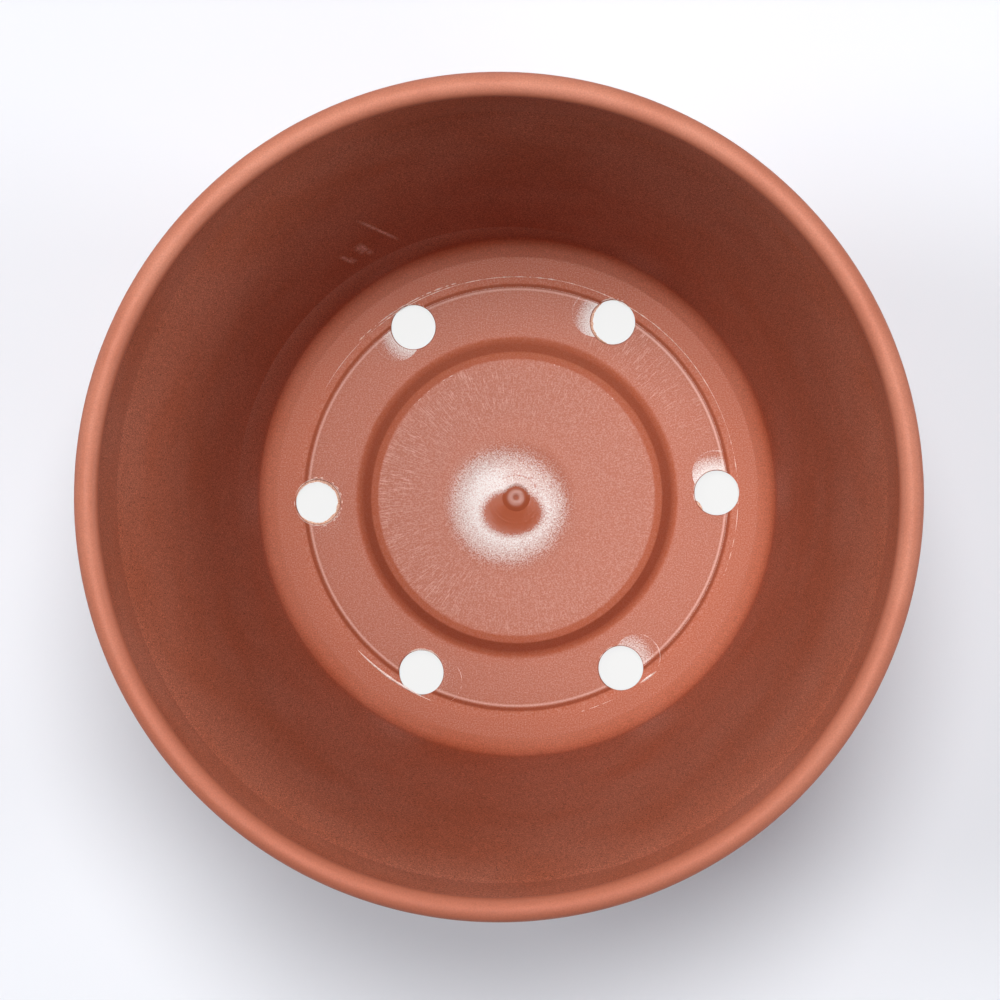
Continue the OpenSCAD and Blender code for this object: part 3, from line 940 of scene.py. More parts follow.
# %% Heel
HEEL_R = 2.8
HEEL_TILT = math.radians(2)
under_z = corner("floor_shelf", 0, -1).y
floor_wall = floor_z - under_z
heel_start = point(heel_in_r, floor_z)
heel_reach = wall_in_foot - heel_start
heel_out_r = heel_reach.length_squared / (2 * heel_reach.y) + floor_wall
heel_centre = point(heel_in_r, under_z + heel_out_r)
heel_end = math.atan2(wall_in_foot.y - heel_centre.y, wall_in_foot.x - heel_centre.x)
heel_out = arc(heel_centre, heel_out_r, -math.pi / 2, heel_end)
heel_corner = meeting(heel_start, point(math.cos(HEEL_TILT), math.sin(HEEL_TILT)), wall_in_foot,
                      wall_in_top - wall_in_foot)
heel_turn = rounded(wall_in_foot, heel_corner, heel_start, HEEL_R)
heel_in = polyline(wall_in_foot, heel_turn[0]) + heel_turn + polyline(heel_turn[-1], heel_start)
turn_ring("heel", heel_out + heel_in, matte)
print(f"heel corner at radius {heel_corner.x:.2f}, floor {floor_wall:.2f} thick")

# %% [markdown]
# ## Shelf and drain ring
#
# The floor starts with a flat shelf. Then comes the drain ring: a shallow channel, a rounded edge and a
# flat that carries six holes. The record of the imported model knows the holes, so their circle and radius
# are read there.

# %% Shelf
ring_out_r = corner("floor_shelf", -1, 0).x
shelf_line = polyline(point(ring_out_r, under_z), point(heel_in_r, under_z), point(heel_in_r, floor_z),
                      point(ring_out_r, floor_z), point(ring_out_r, under_z))
turn_ring("floor_shelf", shelf_line, satin)

# %% Section of the drain ring
step_low = corner("floor_step", 1, 0)
step_high = corner("floor_step", 0, 1)
step_slope = math.atan2(step_high.y - step_low.y, step_low.x - step_high.x)
bend_rise = step_low.y - ring_z
bend_reach = bend_rise / math.tan(step_slope / 2)
bend_r = bend_reach / math.sin(step_slope)
ring_in_r = step_low.x + bend_reach
foot_centre = point(ring_in_r, ring_z + bend_r)
foot_turn = -math.pi / 2 - step_slope
ring_under = polyline(point(ring_in_r, ring_z - floor_wall), point(ring_edge_r, ring_z - floor_wall),
                      point(ring_edge_r + RING_RISE, under_z), point(ring_out_r, under_z),
                      point(ring_out_r, floor_z), point(channel_out_r, floor_z), crease)
ring_edge = eased(crease, point(ring_flat_r, ring_z))
ring_flat = polyline(point(ring_flat_r, ring_z), point(ring_in_r, ring_z))
foot_upper = arc(foot_centre, bend_r, -math.pi / 2, foot_turn)
foot_lower = arc(foot_centre, bend_r + floor_wall, foot_turn, -math.pi / 2)
ring_outline = ring_under + ring_edge + ring_flat + foot_upper + foot_lower
print(f"step slope {math.degrees(step_slope):.1f} degrees, bends of {bend_r:.2f}")

# %% [markdown]
# The holes and the round pin marks beside them are cut out of the turned ring by a Mesh Boolean node. The
# cutters are one cylinder each, copied to the points of a circle.

# %% The drain ring's tree
HOLE_SIDES = 96
HOLE_EDGE = 0.22
PIN_DEPTH = 0.06
PIN_NEAR = 0.006
LEVEL = 0.9
CUT_PAST = 4.0


def cutters(tree, count, circle_r, tool, middle_z, turn):
    """Copies of a tool at even pitch on a circle, at a height and turned on by an angle."""
    marks = add(tree, "GeometryNodeMeshCircle", {"Vertices": count, "Radius": circle_r})
    copies = add(tree, "GeometryNodeInstanceOnPoints", {"Points": marks, "Instance": tool})
    real = add(tree, "GeometryNodeRealizeInstances", {"Geometry": copies})
    moved = add(tree, "GeometryNodeTransform",
                {"Geometry": real, "Translation": (0, 0, middle_z), "Rotation": (0, 0, turn)})
    return moved


drain_tree = new_geometry_tree("drain_ring")
socket(drain_tree, "Segments", "NodeSocketInt", SEGMENTS)
socket(drain_tree, "Hole count", "NodeSocketInt", 6)
socket(drain_tree, "Hole circle radius", "NodeSocketFloat")
socket(drain_tree, "Hole radius", "NodeSocketFloat")
socket(drain_tree, "Pin radius", "NodeSocketFloat")
socket(drain_tree, "Material", "NodeSocketMaterial")
socket(drain_tree, "Pin material", "NodeSocketMaterial")
given = drain_tree.nodes.new("NodeGroupInput")
bare_ring = lathe_nodes(drain_tree, given.outputs["Geometry"], given.outputs["Segments"])
on_circle = (given.outputs["Hole count"], given.outputs["Hole circle radius"])
drill = add(drain_tree, "GeometryNodeMeshCylinder",
            {"Vertices": HOLE_SIDES, "Radius": given.outputs["Hole radius"], "Depth": 2 * CUT_PAST * MM})
hole_cutters = cutters(drain_tree, *on_circle, drill, ring_z * MM, 0.0)
punch = add(drain_tree, "GeometryNodeMeshCylinder",
            {"Vertices": HOLE_SIDES, "Radius": given.outputs["Pin radius"], "Depth": CUT_PAST * MM})
pin_cutters = cutters(drain_tree, *on_circle, punch, (ring_z - PIN_DEPTH + CUT_PAST / 2) * MM, PIN_TURN)
wide = add(drain_tree, MATH, {0: given.outputs["Hole radius"], 1: 2 * HOLE_EDGE * MM}, operation="ADD")
sink = add(drain_tree, "GeometryNodeMeshCone",
           {"Vertices": HOLE_SIDES, "Radius Top": wide, "Radius Bottom": given.outputs["Hole radius"],
            "Depth": 2 * HOLE_EDGE * MM})
sink_cutters = cutters(drain_tree, *on_circle, sink, (ring_z - HOLE_EDGE) * MM, 0.0)
flat_limit = add(drain_tree, "GeometryNodeMeshCylinder",
                 {"Vertices": SEGMENTS, "Radius": ring_flat_r * MM, "Depth": 4 * CUT_PAST * MM})
pin_tools = add(drain_tree, "GeometryNodeMeshBoolean", {"Mesh 2": [pin_cutters, flat_limit]},
                operation="INTERSECT", solver="EXACT")
cut_ring = add(drain_tree, "GeometryNodeMeshBoolean",
               {"Mesh 1": bare_ring, "Mesh 2": [hole_cutters, pin_tools, sink_cutters]},
               operation="DIFFERENCE", solver="EXACT")
dressed_ring = end_tree(drain_tree, cut_ring, given.outputs["Material"])
height_of = add(drain_tree, "ShaderNodeSeparateXYZ", {0: add(drain_tree, "GeometryNodeInputPosition")})
level_of = add(drain_tree, "ShaderNodeSeparateXYZ", {0: add(drain_tree, "GeometryNodeInputNormal")})
at_pin = add(drain_tree, "FunctionNodeCompare",
             {0: height_of.outputs["Z"], 1: (ring_z - PIN_DEPTH) * MM, "Epsilon": PIN_NEAR * MM},
             data_type="FLOAT", operation="EQUAL")
is_level = add(drain_tree, "FunctionNodeCompare", {0: level_of.outputs["Z"], 1: LEVEL}, data_type="FLOAT",
               operation="GREATER_THAN")
pin_floor = add(drain_tree, "FunctionNodeBooleanMath", {0: at_pin, 1: is_level}, operation="AND")
pinned = add(drain_tree, "GeometryNodeSetMaterial",
             {"Geometry": dressed_ring, "Selection": pin_floor, "Material": given.outputs["Pin material"]})
add(drain_tree, "NodeGroupOutput", {"Geometry": pinned})

drain_values = {"Segments": SEGMENTS, "Hole count": hole_count, "Hole circle radius": hole_circle_r * MM,
                "Hole radius": hole_r * MM, "Pin radius": PIN_R * MM, "Material": satin,
                "Pin material": eroded}
ring_section = [(p.x, 0, p.y) for p in without_doubles(ring_outline)]
drain_ring = run_tree("drain_ring_cut", drain_tree, ring_section, drain_values)
settle(drain_ring, "drain_ring")

# %% [markdown]
# ## Step and raised disc
#
# The floor rises in an S-shaped step to the raised disc. The step ends in a narrow sloping brow with an
# edge of its own, and further in the disc bends up to the dome.

# %% Step and disc
STEP_STEEP = math.radians(54)
step_way = point(-math.cos(STEP_STEEP), math.sin(STEP_STEEP))
step_top = meeting(step_low, step_way, step_high, point(1, 0))
step_face = polyline(step_low, step_top)
step_normal = Vector((math.sin(step_slope), math.cos(step_slope)))
step_back = polyline(step_high - step_normal * floor_wall, step_low - step_normal * floor_wall, step_low)
turn_ring("floor_step", step_face + step_back, satin)

BROW_OUT = 0.15
BROW_TILT = math.radians(14)
BROW_EDGE_R = 1.5
BROW_TURN_R = 0.8
disc_z = step_high.y + bend_rise
disc_r = step_high.x - bend_reach
brow_centre = point(disc_r, disc_z - bend_r)
brow_end = math.pi / 2 - step_slope
brow_start = point(disc_r + BROW_OUT, disc_z)
brow_corner = meeting(brow_start, point(math.cos(BROW_TILT), -math.sin(BROW_TILT)), step_top, step_way)
dome_edge = corner("gate_dome", 1, 0)
dome_top = corner("gate_dome", 0, 1)
dome_ball_z = (dome_top.length_squared - dome_edge.length_squared) / (2 * (dome_top.y - dome_edge.y))
dome_ball_r = (dome_edge - point(0, dome_ball_z)).length
dome_slope = math.asin(dome_edge.x / dome_ball_r)
dome_reach = (dome_edge.y - disc_z) / math.tan(dome_slope / 2)
dome_r = dome_edge.x + dome_reach
blend_r = dome_reach / math.sin(dome_slope)
blend_centre = point(dome_r, disc_z + blend_r)
FINE_TURN = math.radians(0.5)
blend_low = arc(blend_centre, blend_r + floor_wall, -math.pi / 2 - dome_slope, -math.pi / 2, FINE_TURN)
blend_high = arc(blend_centre, blend_r, -math.pi / 2, -math.pi / 2 - dome_slope, FINE_TURN)
disc_under = polyline(blend_low[-1], point(disc_r, disc_z - floor_wall))
brow_low = arc(brow_centre, bend_r - floor_wall, math.pi / 2, brow_end)
brow_turn = rounded(step_top, brow_corner, brow_start, BROW_TURN_R)
brow_edge = rounded(brow_corner, brow_start, point(dome_r, disc_z), BROW_EDGE_R)
brow_high = [step_top] + brow_turn + brow_edge
disc_upper = polyline(brow_edge[-1], point(dome_r, disc_z))
disc_outline = blend_low + disc_under + brow_low + brow_high + disc_upper + blend_high
centre_disc = turn_ring("centre_disc", disc_outline, satin)
centre_disc.data.materials.append(polished)
polished_index = centre_disc.data.materials.find(polished.name)
for face in centre_disc.data.polygons:
    if face.center.xy.length < dome_r * MM:
        face.material_index = polished_index
print(f"disc at {disc_z:.2f}, radius {disc_r:.2f}; dome radius {dome_r:.2f}, ball radius {dome_ball_r:.2f}")

# %% [markdown]
# ## Dome and gate boss
#
# The plastic came in through the gate in the middle. The steel around it was polished, so the low dome
# mirrors the lamps above.

# %% Dome
WITNESS_DEPTH = 0.008
DOME_SPAN = 0.1
boss_r = corner("gate_boss", 1, 0).x
dome_inner_r = dome_ball_r - floor_wall


def on_ball(radius, ball_r):
    """A point of a ball round the dome's middle, at a distance from the axis."""
    return point(radius, dome_ball_z + math.sqrt(ball_r ** 2 - radius ** 2))


def dome_face(radius):
    """A point of the dome's upper face. Two fine grooves are the marks of inserts in the core."""
    groove = sum(math.exp(-((radius - r) / (WITNESS_W / 2)) ** 2) for r in WITNESS_R)
    return on_ball(radius, dome_ball_r) - point(0, WITNESS_DEPTH * groove)


def radii(first, last, span):
    """Even steps from one radius to another, with both ends."""
    count = math.ceil(abs(last - first) / span)
    return [first + (last - first) * i / count for i in range(count + 1)]


dome_upper = [dome_face(r) for r in radii(dome_edge.x, boss_r, DOME_SPAN)]
dome_under_r = dome_edge.x * dome_inner_r / dome_ball_r
dome_lower = [on_ball(r, dome_inner_r) for r in radii(boss_r, dome_under_r, SPAN)]
turn_ring("gate_dome", dome_upper + dome_lower, polished)

# %% [markdown]
# The boss is what is left of the gate: a low button with a straight side, a rounded upper edge and a dimple
# in its top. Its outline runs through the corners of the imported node.

# %% Boss
DIMPLE_DEPTH = 0.4
BOSS_EDGE_R = 1.0
boss_foot = dome_face(boss_r)
boss_top = corner("gate_boss", TIE, 1)
dimple_edge = corner("gate_boss", -TIE, 1)
dimple_low = point(0, boss_top.y - DIMPLE_DEPTH)
boss_under = [on_ball(r, dome_inner_r) for r in radii(0, boss_r, SPAN)]
boss_turn = rounded(boss_foot, boss_top, dimple_edge, BOSS_EDGE_R)
boss_side = polyline(boss_foot, boss_turn[0]) + boss_turn + eased(dimple_edge, dimple_low)
turn_ring("gate_boss", boss_under + boss_side + [dimple_low], polished)

# %% [markdown]
# ## Flash
#
# Where two parts of the mould meet, thin fins of plastic stand on the moulding. Along the outer edge of the
# drain channel and round the raised disc they are broken lines, and at the holes they are ragged skins and
# burrs. Both follow a curve, so each is a small geometry tree with a seed, run once for each stretch where
# the pot shows it.

# %% The tree of a broken line
FLASH_CELL = 0.9
FLASH_STEP = 0.12
FLASH_SIDES = 5
STRAND_FULL = 0.75
STRAND_LEAST = 0.3

line_tree = new_geometry_tree("flash_line")
for name in ("Radius", "Start", "Sweep", "Thickness", "Gaps", "Seed"):
    socket(line_tree, name, "NodeSocketFloat")
socket(line_tree, "Centre", "NodeSocketVector")
socket(line_tree, "Steps", "NodeSocketInt")
socket(line_tree, "Material", "NodeSocketMaterial")
given = line_tree.nodes.new("NodeGroupInput")
bend = add(line_tree, "GeometryNodeCurveArc",
           {"Resolution": given.outputs["Steps"], "Radius": given.outputs["Radius"],
            "Start Angle": given.outputs["Start"], "Sweep Angle": given.outputs["Sweep"]}, mode="RADIUS")
laid = add(line_tree, "GeometryNodeTransform", {"Geometry": bend, "Translation": given.outputs["Centre"]})
strung = add(line_tree, "GeometryNodeCurveToMesh", {"Curve": laid})
spot = add(line_tree, "GeometryNodeInputPosition")
uneven = add(line_tree, NOISE,
             {"Vector": spot, "W": given.outputs["Seed"], "Scale": per_mm(FLASH_CELL), "Detail": 3.0},
             noise_dimensions="4D")
gone = add(line_tree, "FunctionNodeCompare", {0: uneven, 1: given.outputs["Gaps"]}, data_type="FLOAT",
           operation="LESS_THAN")
broken = add(line_tree, "GeometryNodeDeleteGeometry", {"Geometry": strung, "Selection": gone},
             domain="POINT")
strands = add(line_tree, "GeometryNodeMeshToCurve", {"Mesh": broken})
along = add(line_tree, "GeometryNodeSplineParameter")
half_turn = add(line_tree, MATH, {0: along, 1: math.pi}, operation="MULTIPLY")
taper = add(line_tree, MATH, {0: half_turn}, operation="SINE")
ragged = add(line_tree, MAP,
             {"Value": uneven, "From": (given.outputs["Gaps"], STRAND_FULL), "To": (STRAND_LEAST, 1.0)})
swell = overlap(line_tree, taper, ragged)
profile = add(line_tree, "GeometryNodeCurvePrimitiveCircle",
              {"Resolution": FLASH_SIDES, "Radius": given.outputs["Thickness"]})
fin = add(line_tree, "GeometryNodeCurveToMesh",
          {"Curve": strands, "Profile Curve": profile, "Scale": swell, "Fill Caps": True})
finished = end_tree(line_tree, fin, given.outputs["Material"])
add(line_tree, "NodeGroupOutput", {"Geometry": finished})


def flash_line(name, centre, radius, start, end, thickness, gaps, seed):
    """One broken line of flash along an arc, between two angles in degrees. Lengths are in millimetres."""
    sweep = math.radians(end - start)
    values = {"Radius": radius * MM, "Start": math.radians(start), "Sweep": sweep,
              "Thickness": thickness * MM, "Gaps": gaps, "Seed": float(seed), "Centre": Vector(centre) * MM,
              "Steps": math.ceil(sweep * radius / FLASH_STEP), "Material": thin_flash}
    return run_tree(name, line_tree, [(0, 0, 0)], values)


# %% [markdown]
# A skin inside a hole is a thin block that is bent round the hole's wall. The block's own X runs along the
# wall, its Y from the wall into the hole, and noise makes its free edge ragged.

# %% The tree of a ragged skin
SKIN_STEPS = 90
SKIN_ROWS = 5
SKIN_SEAT = 0.1
SKIN_CELL = 1.4
SKIN_TEAR = (0.35, 0.65)
SKIN_SHARE = (0.55, 1.0)
SKIN_ROUND = 0.5
SKIN_TIP = 0.25
SKIN_DOWN = 0.7

skin_tree = new_geometry_tree("hole_skin")
for name in ("Hole radius", "Facing", "Spread", "Reach", "Thickness", "Seed"):
    socket(skin_tree, name, "NodeSocketFloat")
socket(skin_tree, "Centre", "NodeSocketVector")
socket(skin_tree, "Material", "NodeSocketMaterial")
given = skin_tree.nodes.new("NodeGroupInput")
block = add(skin_tree, "GeometryNodeMeshCube",
            {"Size": (1, 1, 1), "Vertices X": SKIN_STEPS, "Vertices Y": SKIN_ROWS, "Vertices Z": 2})
sides = add(skin_tree, "ShaderNodeSeparateXYZ", {0: add(skin_tree, "GeometryNodeInputPosition")})
part = add(skin_tree, MATH, {0: sides.outputs["X"], 1: given.outputs["Spread"]}, operation="MULTIPLY")
angle = add(skin_tree, MATH, {0: part, 1: given.outputs["Facing"]}, operation="ADD")
cosine = add(skin_tree, MATH, {0: angle}, operation="COSINE")
sine = add(skin_tree, MATH, {0: angle}, operation="SINE")
ray = add(skin_tree, "ShaderNodeCombineXYZ", {"X": cosine, "Y": sine})
middle = add(skin_tree, MATH, {0: sides.outputs["X"], 1: math.pi}, operation="MULTIPLY")
bow = add(skin_tree, MATH, {0: middle}, operation="COSINE")
bulge = add(skin_tree, MATH, {0: bow, 1: SKIN_ROUND}, operation="POWER")
torn = add(skin_tree, NOISE,
           {"Vector": ray, "W": given.outputs["Seed"], "Scale": hole_r / SKIN_CELL, "Detail": 4.0},
           noise_dimensions="4D")
share = add(skin_tree, MAP, {"Value": torn, "From": SKIN_TEAR, "To": SKIN_SHARE})
free = overlap(skin_tree, share, given.outputs["Reach"], bulge)
width = add(skin_tree, MATH, {0: free, 1: SKIN_SEAT * MM}, operation="ADD")
depth = add(skin_tree, MATH, {0: sides.outputs["Y"], 1: 0.5}, operation="ADD")
inward = add(skin_tree, MATH, {0: width, 1: depth}, operation="MULTIPLY")
outer = add(skin_tree, MATH, {0: given.outputs["Hole radius"], 1: SKIN_SEAT * MM}, operation="ADD")
reach = add(skin_tree, MATH, {0: outer, 1: inward}, operation="SUBTRACT")
flat_spot = add(skin_tree, VECTOR, {0: ray, "Scale": reach}, operation="SCALE")
thinned = add(skin_tree, MAP, {"Value": depth, "To": (1.0, SKIN_TIP)})
rise = overlap(skin_tree, sides.outputs["Z"], thinned, given.outputs["Thickness"])
raised = add(skin_tree, VECTOR, {0: flat_spot, 1: add(skin_tree, "ShaderNodeCombineXYZ", {"Z": rise})},
             operation="ADD")
placed = add(skin_tree, VECTOR, {0: raised, 1: given.outputs["Centre"]}, operation="ADD")
skin = add(skin_tree, "GeometryNodeSetPosition", {"Geometry": block, "Position": placed})
finished = end_tree(skin_tree, skin, given.outputs["Material"])
add(skin_tree, "NodeGroupOutput", {"Geometry": finished})


def hole_centre(index, height):
    """The middle of a drain hole, counted from the one on the X axis, at a height."""
    angle = math.tau * index / hole_count
    return (hole_circle_r * math.cos(angle), hole_circle_r * math.sin(angle), height)


def hole_skin(name, index, facing, spread, reach, height, thickness, seed):
    """A ragged skin in one hole, round its wall by an angle in degrees. Lengths are in millimetres."""
    values = {"Hole radius": hole_r * MM, "Facing": math.radians(facing), "Spread": math.radians(spread),
              "Reach": reach * MM, "Thickness": thickness * MM, "Seed": float(seed),
              "Centre": Vector(hole_centre(index, height)) * MM, "Material": thin_flash}
    return run_tree(name, skin_tree, [(0, 0, 0)], values)


# %% Flash where the pot shows it
axis_floor = (0, 0, floor_z)
axis_disc = (0, 0, disc_z)
pin_share = PIN_TURN / (math.tau / hole_count)
skin_z = ring_z - SKIN_DOWN
burr_r = hole_r + HOLE_EDGE
# Name, middle, radius, first and last angle in degrees, thickness, gaps and seed of each broken line
lines = (
    ("edge_a", axis_floor, channel_out_r, 8, 150, 0.11, 0.32, 1),
    ("edge_b", axis_floor, channel_out_r, 28, 130, 0.2, 0.44, 2),
    ("edge_c", axis_floor, channel_out_r, 222, 246, 0.48, 0.1, 3),
    ("edge_d", axis_floor, channel_out_r + 0.6, 285, 294, 0.11, 0.42, 4),
    ("edge_e", axis_floor, channel_out_r + 0.4, 302, 307.5, 0.44, 0.1, 5),
    ("edge_f", axis_floor, channel_out_r, 338, 376, 0.14, 0.42, 6),
    ("edge_g", axis_floor, channel_out_r + 0.5, 104, 134, 0.26, 0.44, 20),
    ("disc_a", axis_disc, disc_r, 30, 80, 0.12, 0.6, 7),
    ("disc_b", axis_disc, disc_r, 116, 138, 0.12, 0.52, 8),
    ("burr_a", hole_centre(0, ring_z), burr_r, 60, 200, 0.18, 0.4, 9),
    ("burr_b", hole_centre(1, ring_z), burr_r, 60, 120, 0.18, 0.4, 10),
    ("burr_c", hole_centre(2, ring_z), burr_r, 60, 150, 0.18, 0.42, 11),
    ("burr_d", hole_centre(3, ring_z), burr_r + 0.3, -80, 100, 0.24, 0.44, 12),
    ("burr_e", hole_centre(3, ring_z), burr_r, 0, 355, 0.17, 0.38, 13),
    ("burr_f", hole_centre(4, ring_z), burr_r, 35, 125, 0.34, 0.25, 14),
    ("burr_g", hole_centre(5, ring_z), burr_r, 70, 170, 0.17, 0.42, 15),
    ("pin_a", hole_centre(5 + pin_share, ring_z), PIN_R, -40, 80, 0.09, 0.42, 16),
    ("pin_b", hole_centre(4 + pin_share, ring_z), PIN_R, -60, 40, 0.09, 0.42, 21),
)
edge_lines = [flash_line(*row) for row in lines]
skins = [
    hole_skin("skin_a", 3, 10, 320, 0.75, skin_z, 0.3, 17),
    hole_skin("skin_b", 1, 185, 140, 0.7, skin_z, 0.3, 18),
    hole_skin("skin_c", 0, 214, 30, 0.6, skin_z, 0.3, 19),
]


def joined(name, parts, material):
    """One piece from several, with their meshes merged into one."""
    whole = bmesh.new()
    for part in parts:
        whole.from_mesh(part.data)
        bpy.data.objects.remove(part)
    mesh = bpy.data.meshes.new(name)
    mesh.materials.append(material)
    whole.to_mesh(mesh)
    whole.free()
    piece = new_object(name, mesh)
    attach(piece, "root")
    print(f"{name}: {len(mesh.vertices)} points, {len(mesh.polygons)} faces")
    return piece


joined("edge_flash", edge_lines, thin_flash)
joined("hole_flash", skins, thick_flash)

# %% [markdown]
# ## Foot ring
#
# Six short arcs under the floor carry the pot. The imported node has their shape, as loose triangles. A
# merged copy gets its small edges rounded, as the steel leaves them.

# %% Foot arcs
FOOT_EDGE_R = 0.25
EDGE_ANGLE = math.radians(50)
FLAT_ANGLE = math.radians(0.5)
foot_mesh = frame["nodes"]["foot_ring"].data.copy()
foot_mesh.materials.clear()
foot_mesh.materials.append(satin)
shape = bmesh.new()
shape.from_mesh(foot_mesh)
bmesh.ops.remove_doubles(shape, verts=shape.verts, dist=WELD * MM)
bmesh.ops.dissolve_limit(shape, angle_limit=FLAT_ANGLE, verts=shape.verts, edges=shape.edges)
foot_edges = [e for e in shape.edges if e.is_manifold and e.calc_face_angle() > EDGE_ANGLE]
bmesh.ops.bevel(shape, geom=foot_edges, offset=FOOT_EDGE_R * MM, segments=2, affect="EDGES",
                clamp_overlap=True)
shape.to_mesh(foot_mesh)
shape.free()
foot_ring = new_object("foot_arcs", foot_mesh)
settle(foot_ring, "foot_ring")

# %% [markdown]
# ## Camera
#
# The camera looks almost straight down into the pot from about 0.75 m above the rim, a little to one side.
# A long lens keeps the mouth and the floor nearly concentric.

# %% Camera
CAMERA_AT = Vector((27.66, -1.23, 879.2)) * MM
LOOKS_AT = Vector((0.54, -0.6, 128.0)) * MM
CAMERA_ROLL = math.radians(-1.33)
LENS = 135.43
SENSOR = 36
forward = (LOOKS_AT - CAMERA_AT).normalized()
up_hint = Vector((-math.sin(CAMERA_ROLL), math.cos(CAMERA_ROLL), 0))
right = forward.cross(up_hint).normalized()
up = right.cross(forward)
camera_data = bpy.data.cameras.new("camera")
camera_data.lens = LENS
camera_data.sensor_width = SENSOR
camera = new_object("camera", camera_data)
camera.matrix_world = Matrix.Translation(CAMERA_AT) @ Matrix((right, up, -forward)).transposed().to_4x4()
bpy.context.scene.camera = camera
print("camera height in mm:", round(CAMERA_AT.z / MM))

# %% [markdown]
# ## Table
#
# A plain white table top. It has no gloss of its own, so it shows only the soft shadow of the pot. Under
# each drain hole it is painted grey and glows for the camera: painted light, in place of the light that
# falls through the hole. Far from the pot the floor stays about as bright as the backdrop.

# %% Table
TABLE_R = 3.0
DISC_SIDES = 96
TABLE_WHITE = "#e2e4e8"
TABLE_SKY = "#cfdcff"
TABLE_ROUGHNESS = 0.8
TABLE_GLOW = 0.06
# A grey spot that glows under each drain hole: painted light
UNDER_GREY = "#50524f"
UNDER_GLOW = 0.84
UNDER_PAST = 1.0
FAR_GLOW = 0.75
FAR_START = 0.2
FAR_FULL = 1.6


def stage_disc(name, radius, height, material):
    """A level disc of the set: not a piece of the pot."""
    mesh = bpy.data.meshes.new(name)
    disc = bmesh.new()
    bmesh.ops.create_circle(disc, cap_ends=True, segments=DISC_SIDES, radius=radius)
    bmesh.ops.translate(disc, verts=disc.verts, vec=(0, 0, height))
    disc.to_mesh(mesh)
    disc.free()
    mesh.materials.append(material)
    made = new_object(name, mesh)
    return made


table_top = bpy.data.materials.new("painted_table_top")
table_top.use_nodes = True
table_shader = table_top.node_tree.nodes["Principled BSDF"]
table_shader.inputs["Roughness"].default_value = TABLE_ROUGHNESS
table_shader.inputs["Specular IOR Level"].default_value = 0.0
table_tree = table_top.node_tree
_, outward, radius, _ = around_axis(table_tree)
# Painted light: under each drain hole the table is grey and glows for the camera
below = add(table_tree, MAP,
            {"Value": hole_reach(table_tree, outward, radius, 0.0),
             "From": (hole_r + 2 * UNDER_PAST, hole_r + UNDER_PAST)})
far = add(table_tree, MAP, {"Value": radius, "From": (FAR_START / MM, FAR_FULL / MM)})
far_glow = add(table_tree, MAP, {"Value": far, "To": (TABLE_GLOW, FAR_GLOW)})
neutral = add(table_tree, MATH, {0: below, 1: far}, operation="MAXIMUM")
paint = add(table_tree, MIX, {"Factor": below, "A": linear(TABLE_WHITE), "B": linear(UNDER_GREY)}, **COLOUR)
tint = add(table_tree, MIX, {"Factor": neutral, "A": linear(TABLE_SKY), "B": (1, 1, 1, 1)}, **COLOUR)
amount = add(table_tree, MAP, {"Value": below, "To": (far_glow, UNDER_GLOW)})
shine = overlap(table_tree, amount, add(table_tree, "ShaderNodeLightPath").outputs["Is Camera Ray"])
feed(table_tree, table_shader.inputs["Base Color"], paint)
feed(table_tree, table_shader.inputs["Emission Color"], tint)
feed(table_tree, table_shader.inputs["Emission Strength"], shine)
stage_disc("table", TABLE_R, 0.0, table_top)

# %% [markdown]
# ## Lamps
#
# The pot stands under one large soft lamp, a little behind the zenith, with weak lamps low around it. A
# lamp's share says how bright it makes a white card that faces it, so the shares add up to about one and
# colours render about as they are written.

# %% Lamps and world
LAMP_FAR = 1.6
FILL = 0.04
SKY = "#f2f5ff"
BACKDROP = 0.95


def lamp(name, zenith, azimuth, half_angle, share):
    """A round soft lamp at angles in degrees, that lights a facing white card to a share of white."""
    data = bpy.data.lights.new(name, "AREA")
    data.shape = "DISK"
    data.size = 2 * LAMP_FAR * math.tan(math.radians(half_angle))
    data.energy = share * (math.pi * LAMP_FAR) ** 2
    made = new_object(name, data)
    tilt = math.radians(zenith)
    way = Vector(towards(azimuth)) * math.sin(tilt) + Vector((0, 0, math.cos(tilt)))
    made.location = way * LAMP_FAR
    made.rotation_euler = (-way).to_track_quat("-Z", "Y").to_euler()
    made.visible_camera = False
    print(f"{name}: {data.energy:.1f} W")
    return made


key = lamp("key", 13, 79, 9, 0.69)
key.visible_glossy = False
west = lamp("west", 34, 168, 10, 0.27)
west.visible_glossy = False
lamp("east", 64, 0, 9, 0.25)
lamp("south_east", 60, 315, 10, 0.12)
lamp("north_low", 72, 90, 10, 0.18)
lamp("west_low", 70, 170, 10, 0.19)

bpy.context.scene.view_settings.view_transform = "Standard"
world = bpy.data.worlds.new("studio")
world.use_nodes = True
sky_tree = world.node_tree
sky = sky_tree.nodes["Background"]
sky.inputs["Color"].default_value = linear(SKY)
rays = add(sky_tree, "ShaderNodeLightPath")
seen = add(sky_tree, MATH, {0: rays.outputs["Is Camera Ray"], 1: rays.outputs["Is Glossy Ray"]},
           operation="MAXIMUM")
shown = add(sky_tree, MATH, {0: seen, 1: rays.outputs["Is Transmission Ray"]}, operation="MAXIMUM")
strength = add(sky_tree, MAP, {"Value": shown, "To": (FILL, BACKDROP)})
feed(sky_tree, sky.inputs["Strength"], strength)
bpy.context.scene.world = world

# %% [markdown]
# The polished dome mirrors what hangs above it: a bright round lamp with a dark patch in the middle, where
# the camera is. A disc that only glossy rays see gives that mirror image, and the satin sheen of the floor
# with it.

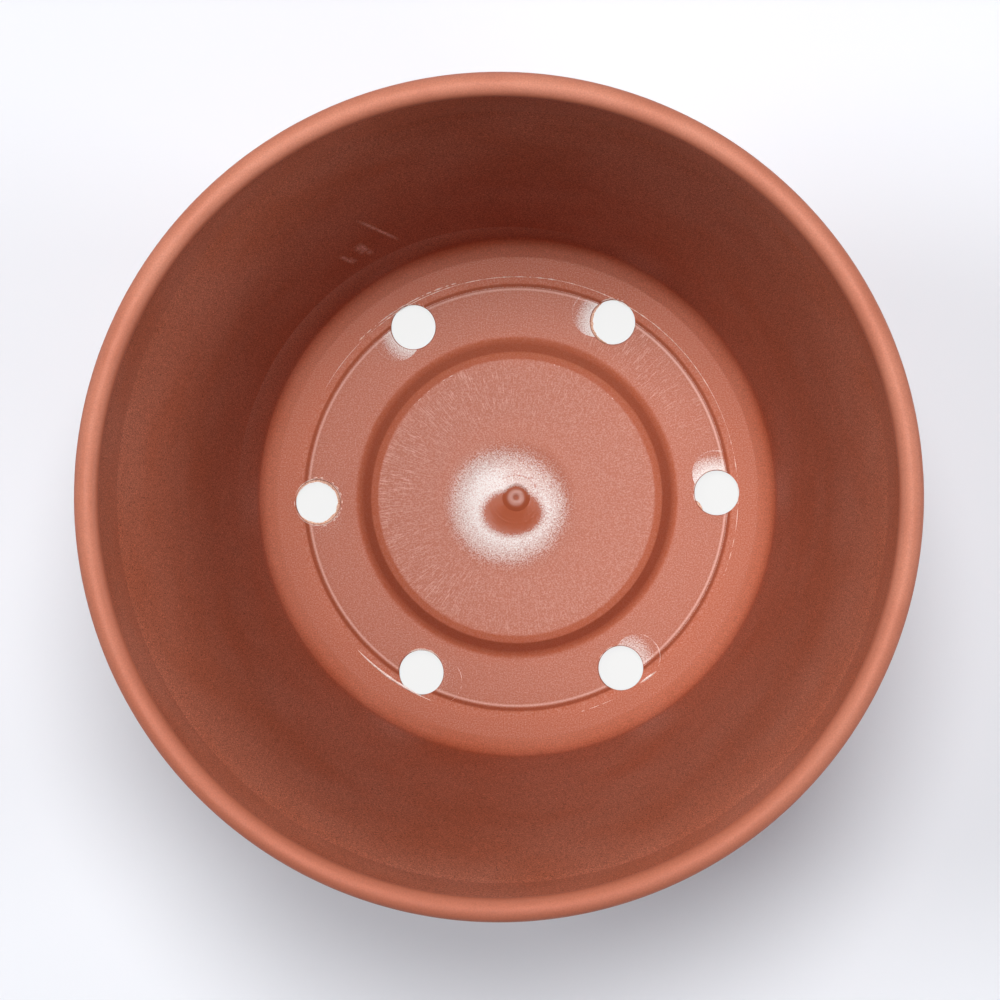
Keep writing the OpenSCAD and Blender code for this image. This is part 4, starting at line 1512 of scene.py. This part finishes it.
# %% What the gloss mirrors
RING_LIGHT = 18.0
RING_AROUND = 2.8
RING_MIDDLE = Vector((-0.078, -0.18, 0.0))
RING_TURN = math.radians(-10)
DARK_HALF = Vector((0.352, 0.262, 1.0))
RING_INNER_EDGE = (0.88, 1.12)
RING_OUTER_EDGE = (0.5, 0.78)
RING_R = 1.2
RING_LEAN_Y = (-1.0, 1.0)
RING_LEAN = (0.3, 1.25)
FIRST_BOUNCE = 0.5
ring_lamp = bpy.data.materials.new("ring_lamp")
ring_lamp.use_nodes = True
ring_tree = ring_lamp.node_tree
ring_tree.nodes.remove(ring_tree.nodes["Principled BSDF"])
spot = add(ring_tree, "ShaderNodeTexCoord").outputs["Object"]
moved = add(ring_tree, VECTOR, {0: spot, 1: RING_MIDDLE + Vector((0, 0, LAMP_FAR))}, operation="SUBTRACT")
spun_back = add(ring_tree, "ShaderNodeVectorRotate", {"Vector": moved, "Angle": -RING_TURN},
                rotation_type="Z_AXIS")
oval = add(ring_tree, VECTOR, {0: spun_back, 1: DARK_HALF}, operation="DIVIDE")
oval_reach = add(ring_tree, VECTOR, {0: oval}, operation="LENGTH")
reach = add(ring_tree, VECTOR, {0: moved}, operation="LENGTH")
inside = add(ring_tree, MAP, {"Value": oval_reach, "From": RING_INNER_EDGE}, **SMOOTH)
outside = add(ring_tree, MAP, {"Value": reach, "From": RING_OUTER_EDGE, "To": (RING_LIGHT, RING_AROUND)},
              **SMOOTH)
north = add(ring_tree, "ShaderNodeSeparateXYZ", {0: spot}).outputs["Y"]
leaning = add(ring_tree, MAP, {"Value": north, "From": RING_LEAN_Y, "To": RING_LEAN})
glow = overlap(ring_tree, inside, outside, leaning)
bounced = add(ring_tree, "ShaderNodeLightPath").outputs["Diffuse Depth"]
direct = add(ring_tree, MATH, {0: bounced, 1: FIRST_BOUNCE}, operation="LESS_THAN")
mirrored = overlap(ring_tree, glow, direct)
emission = add(ring_tree, "ShaderNodeEmission", {"Strength": mirrored})
feed(ring_tree, ring_tree.nodes["Material Output"].inputs["Surface"], emission)
overhead = stage_disc("ring_lamp", RING_R, LAMP_FAR, ring_lamp)
overhead.visible_camera = False
overhead.visible_diffuse = False
overhead.visible_transmission = False
overhead.visible_shadow = False
print("ring lamp outer edge at", round(math.degrees(math.atan(RING_OUTER_EDGE[1] / LAMP_FAR))), "degrees")
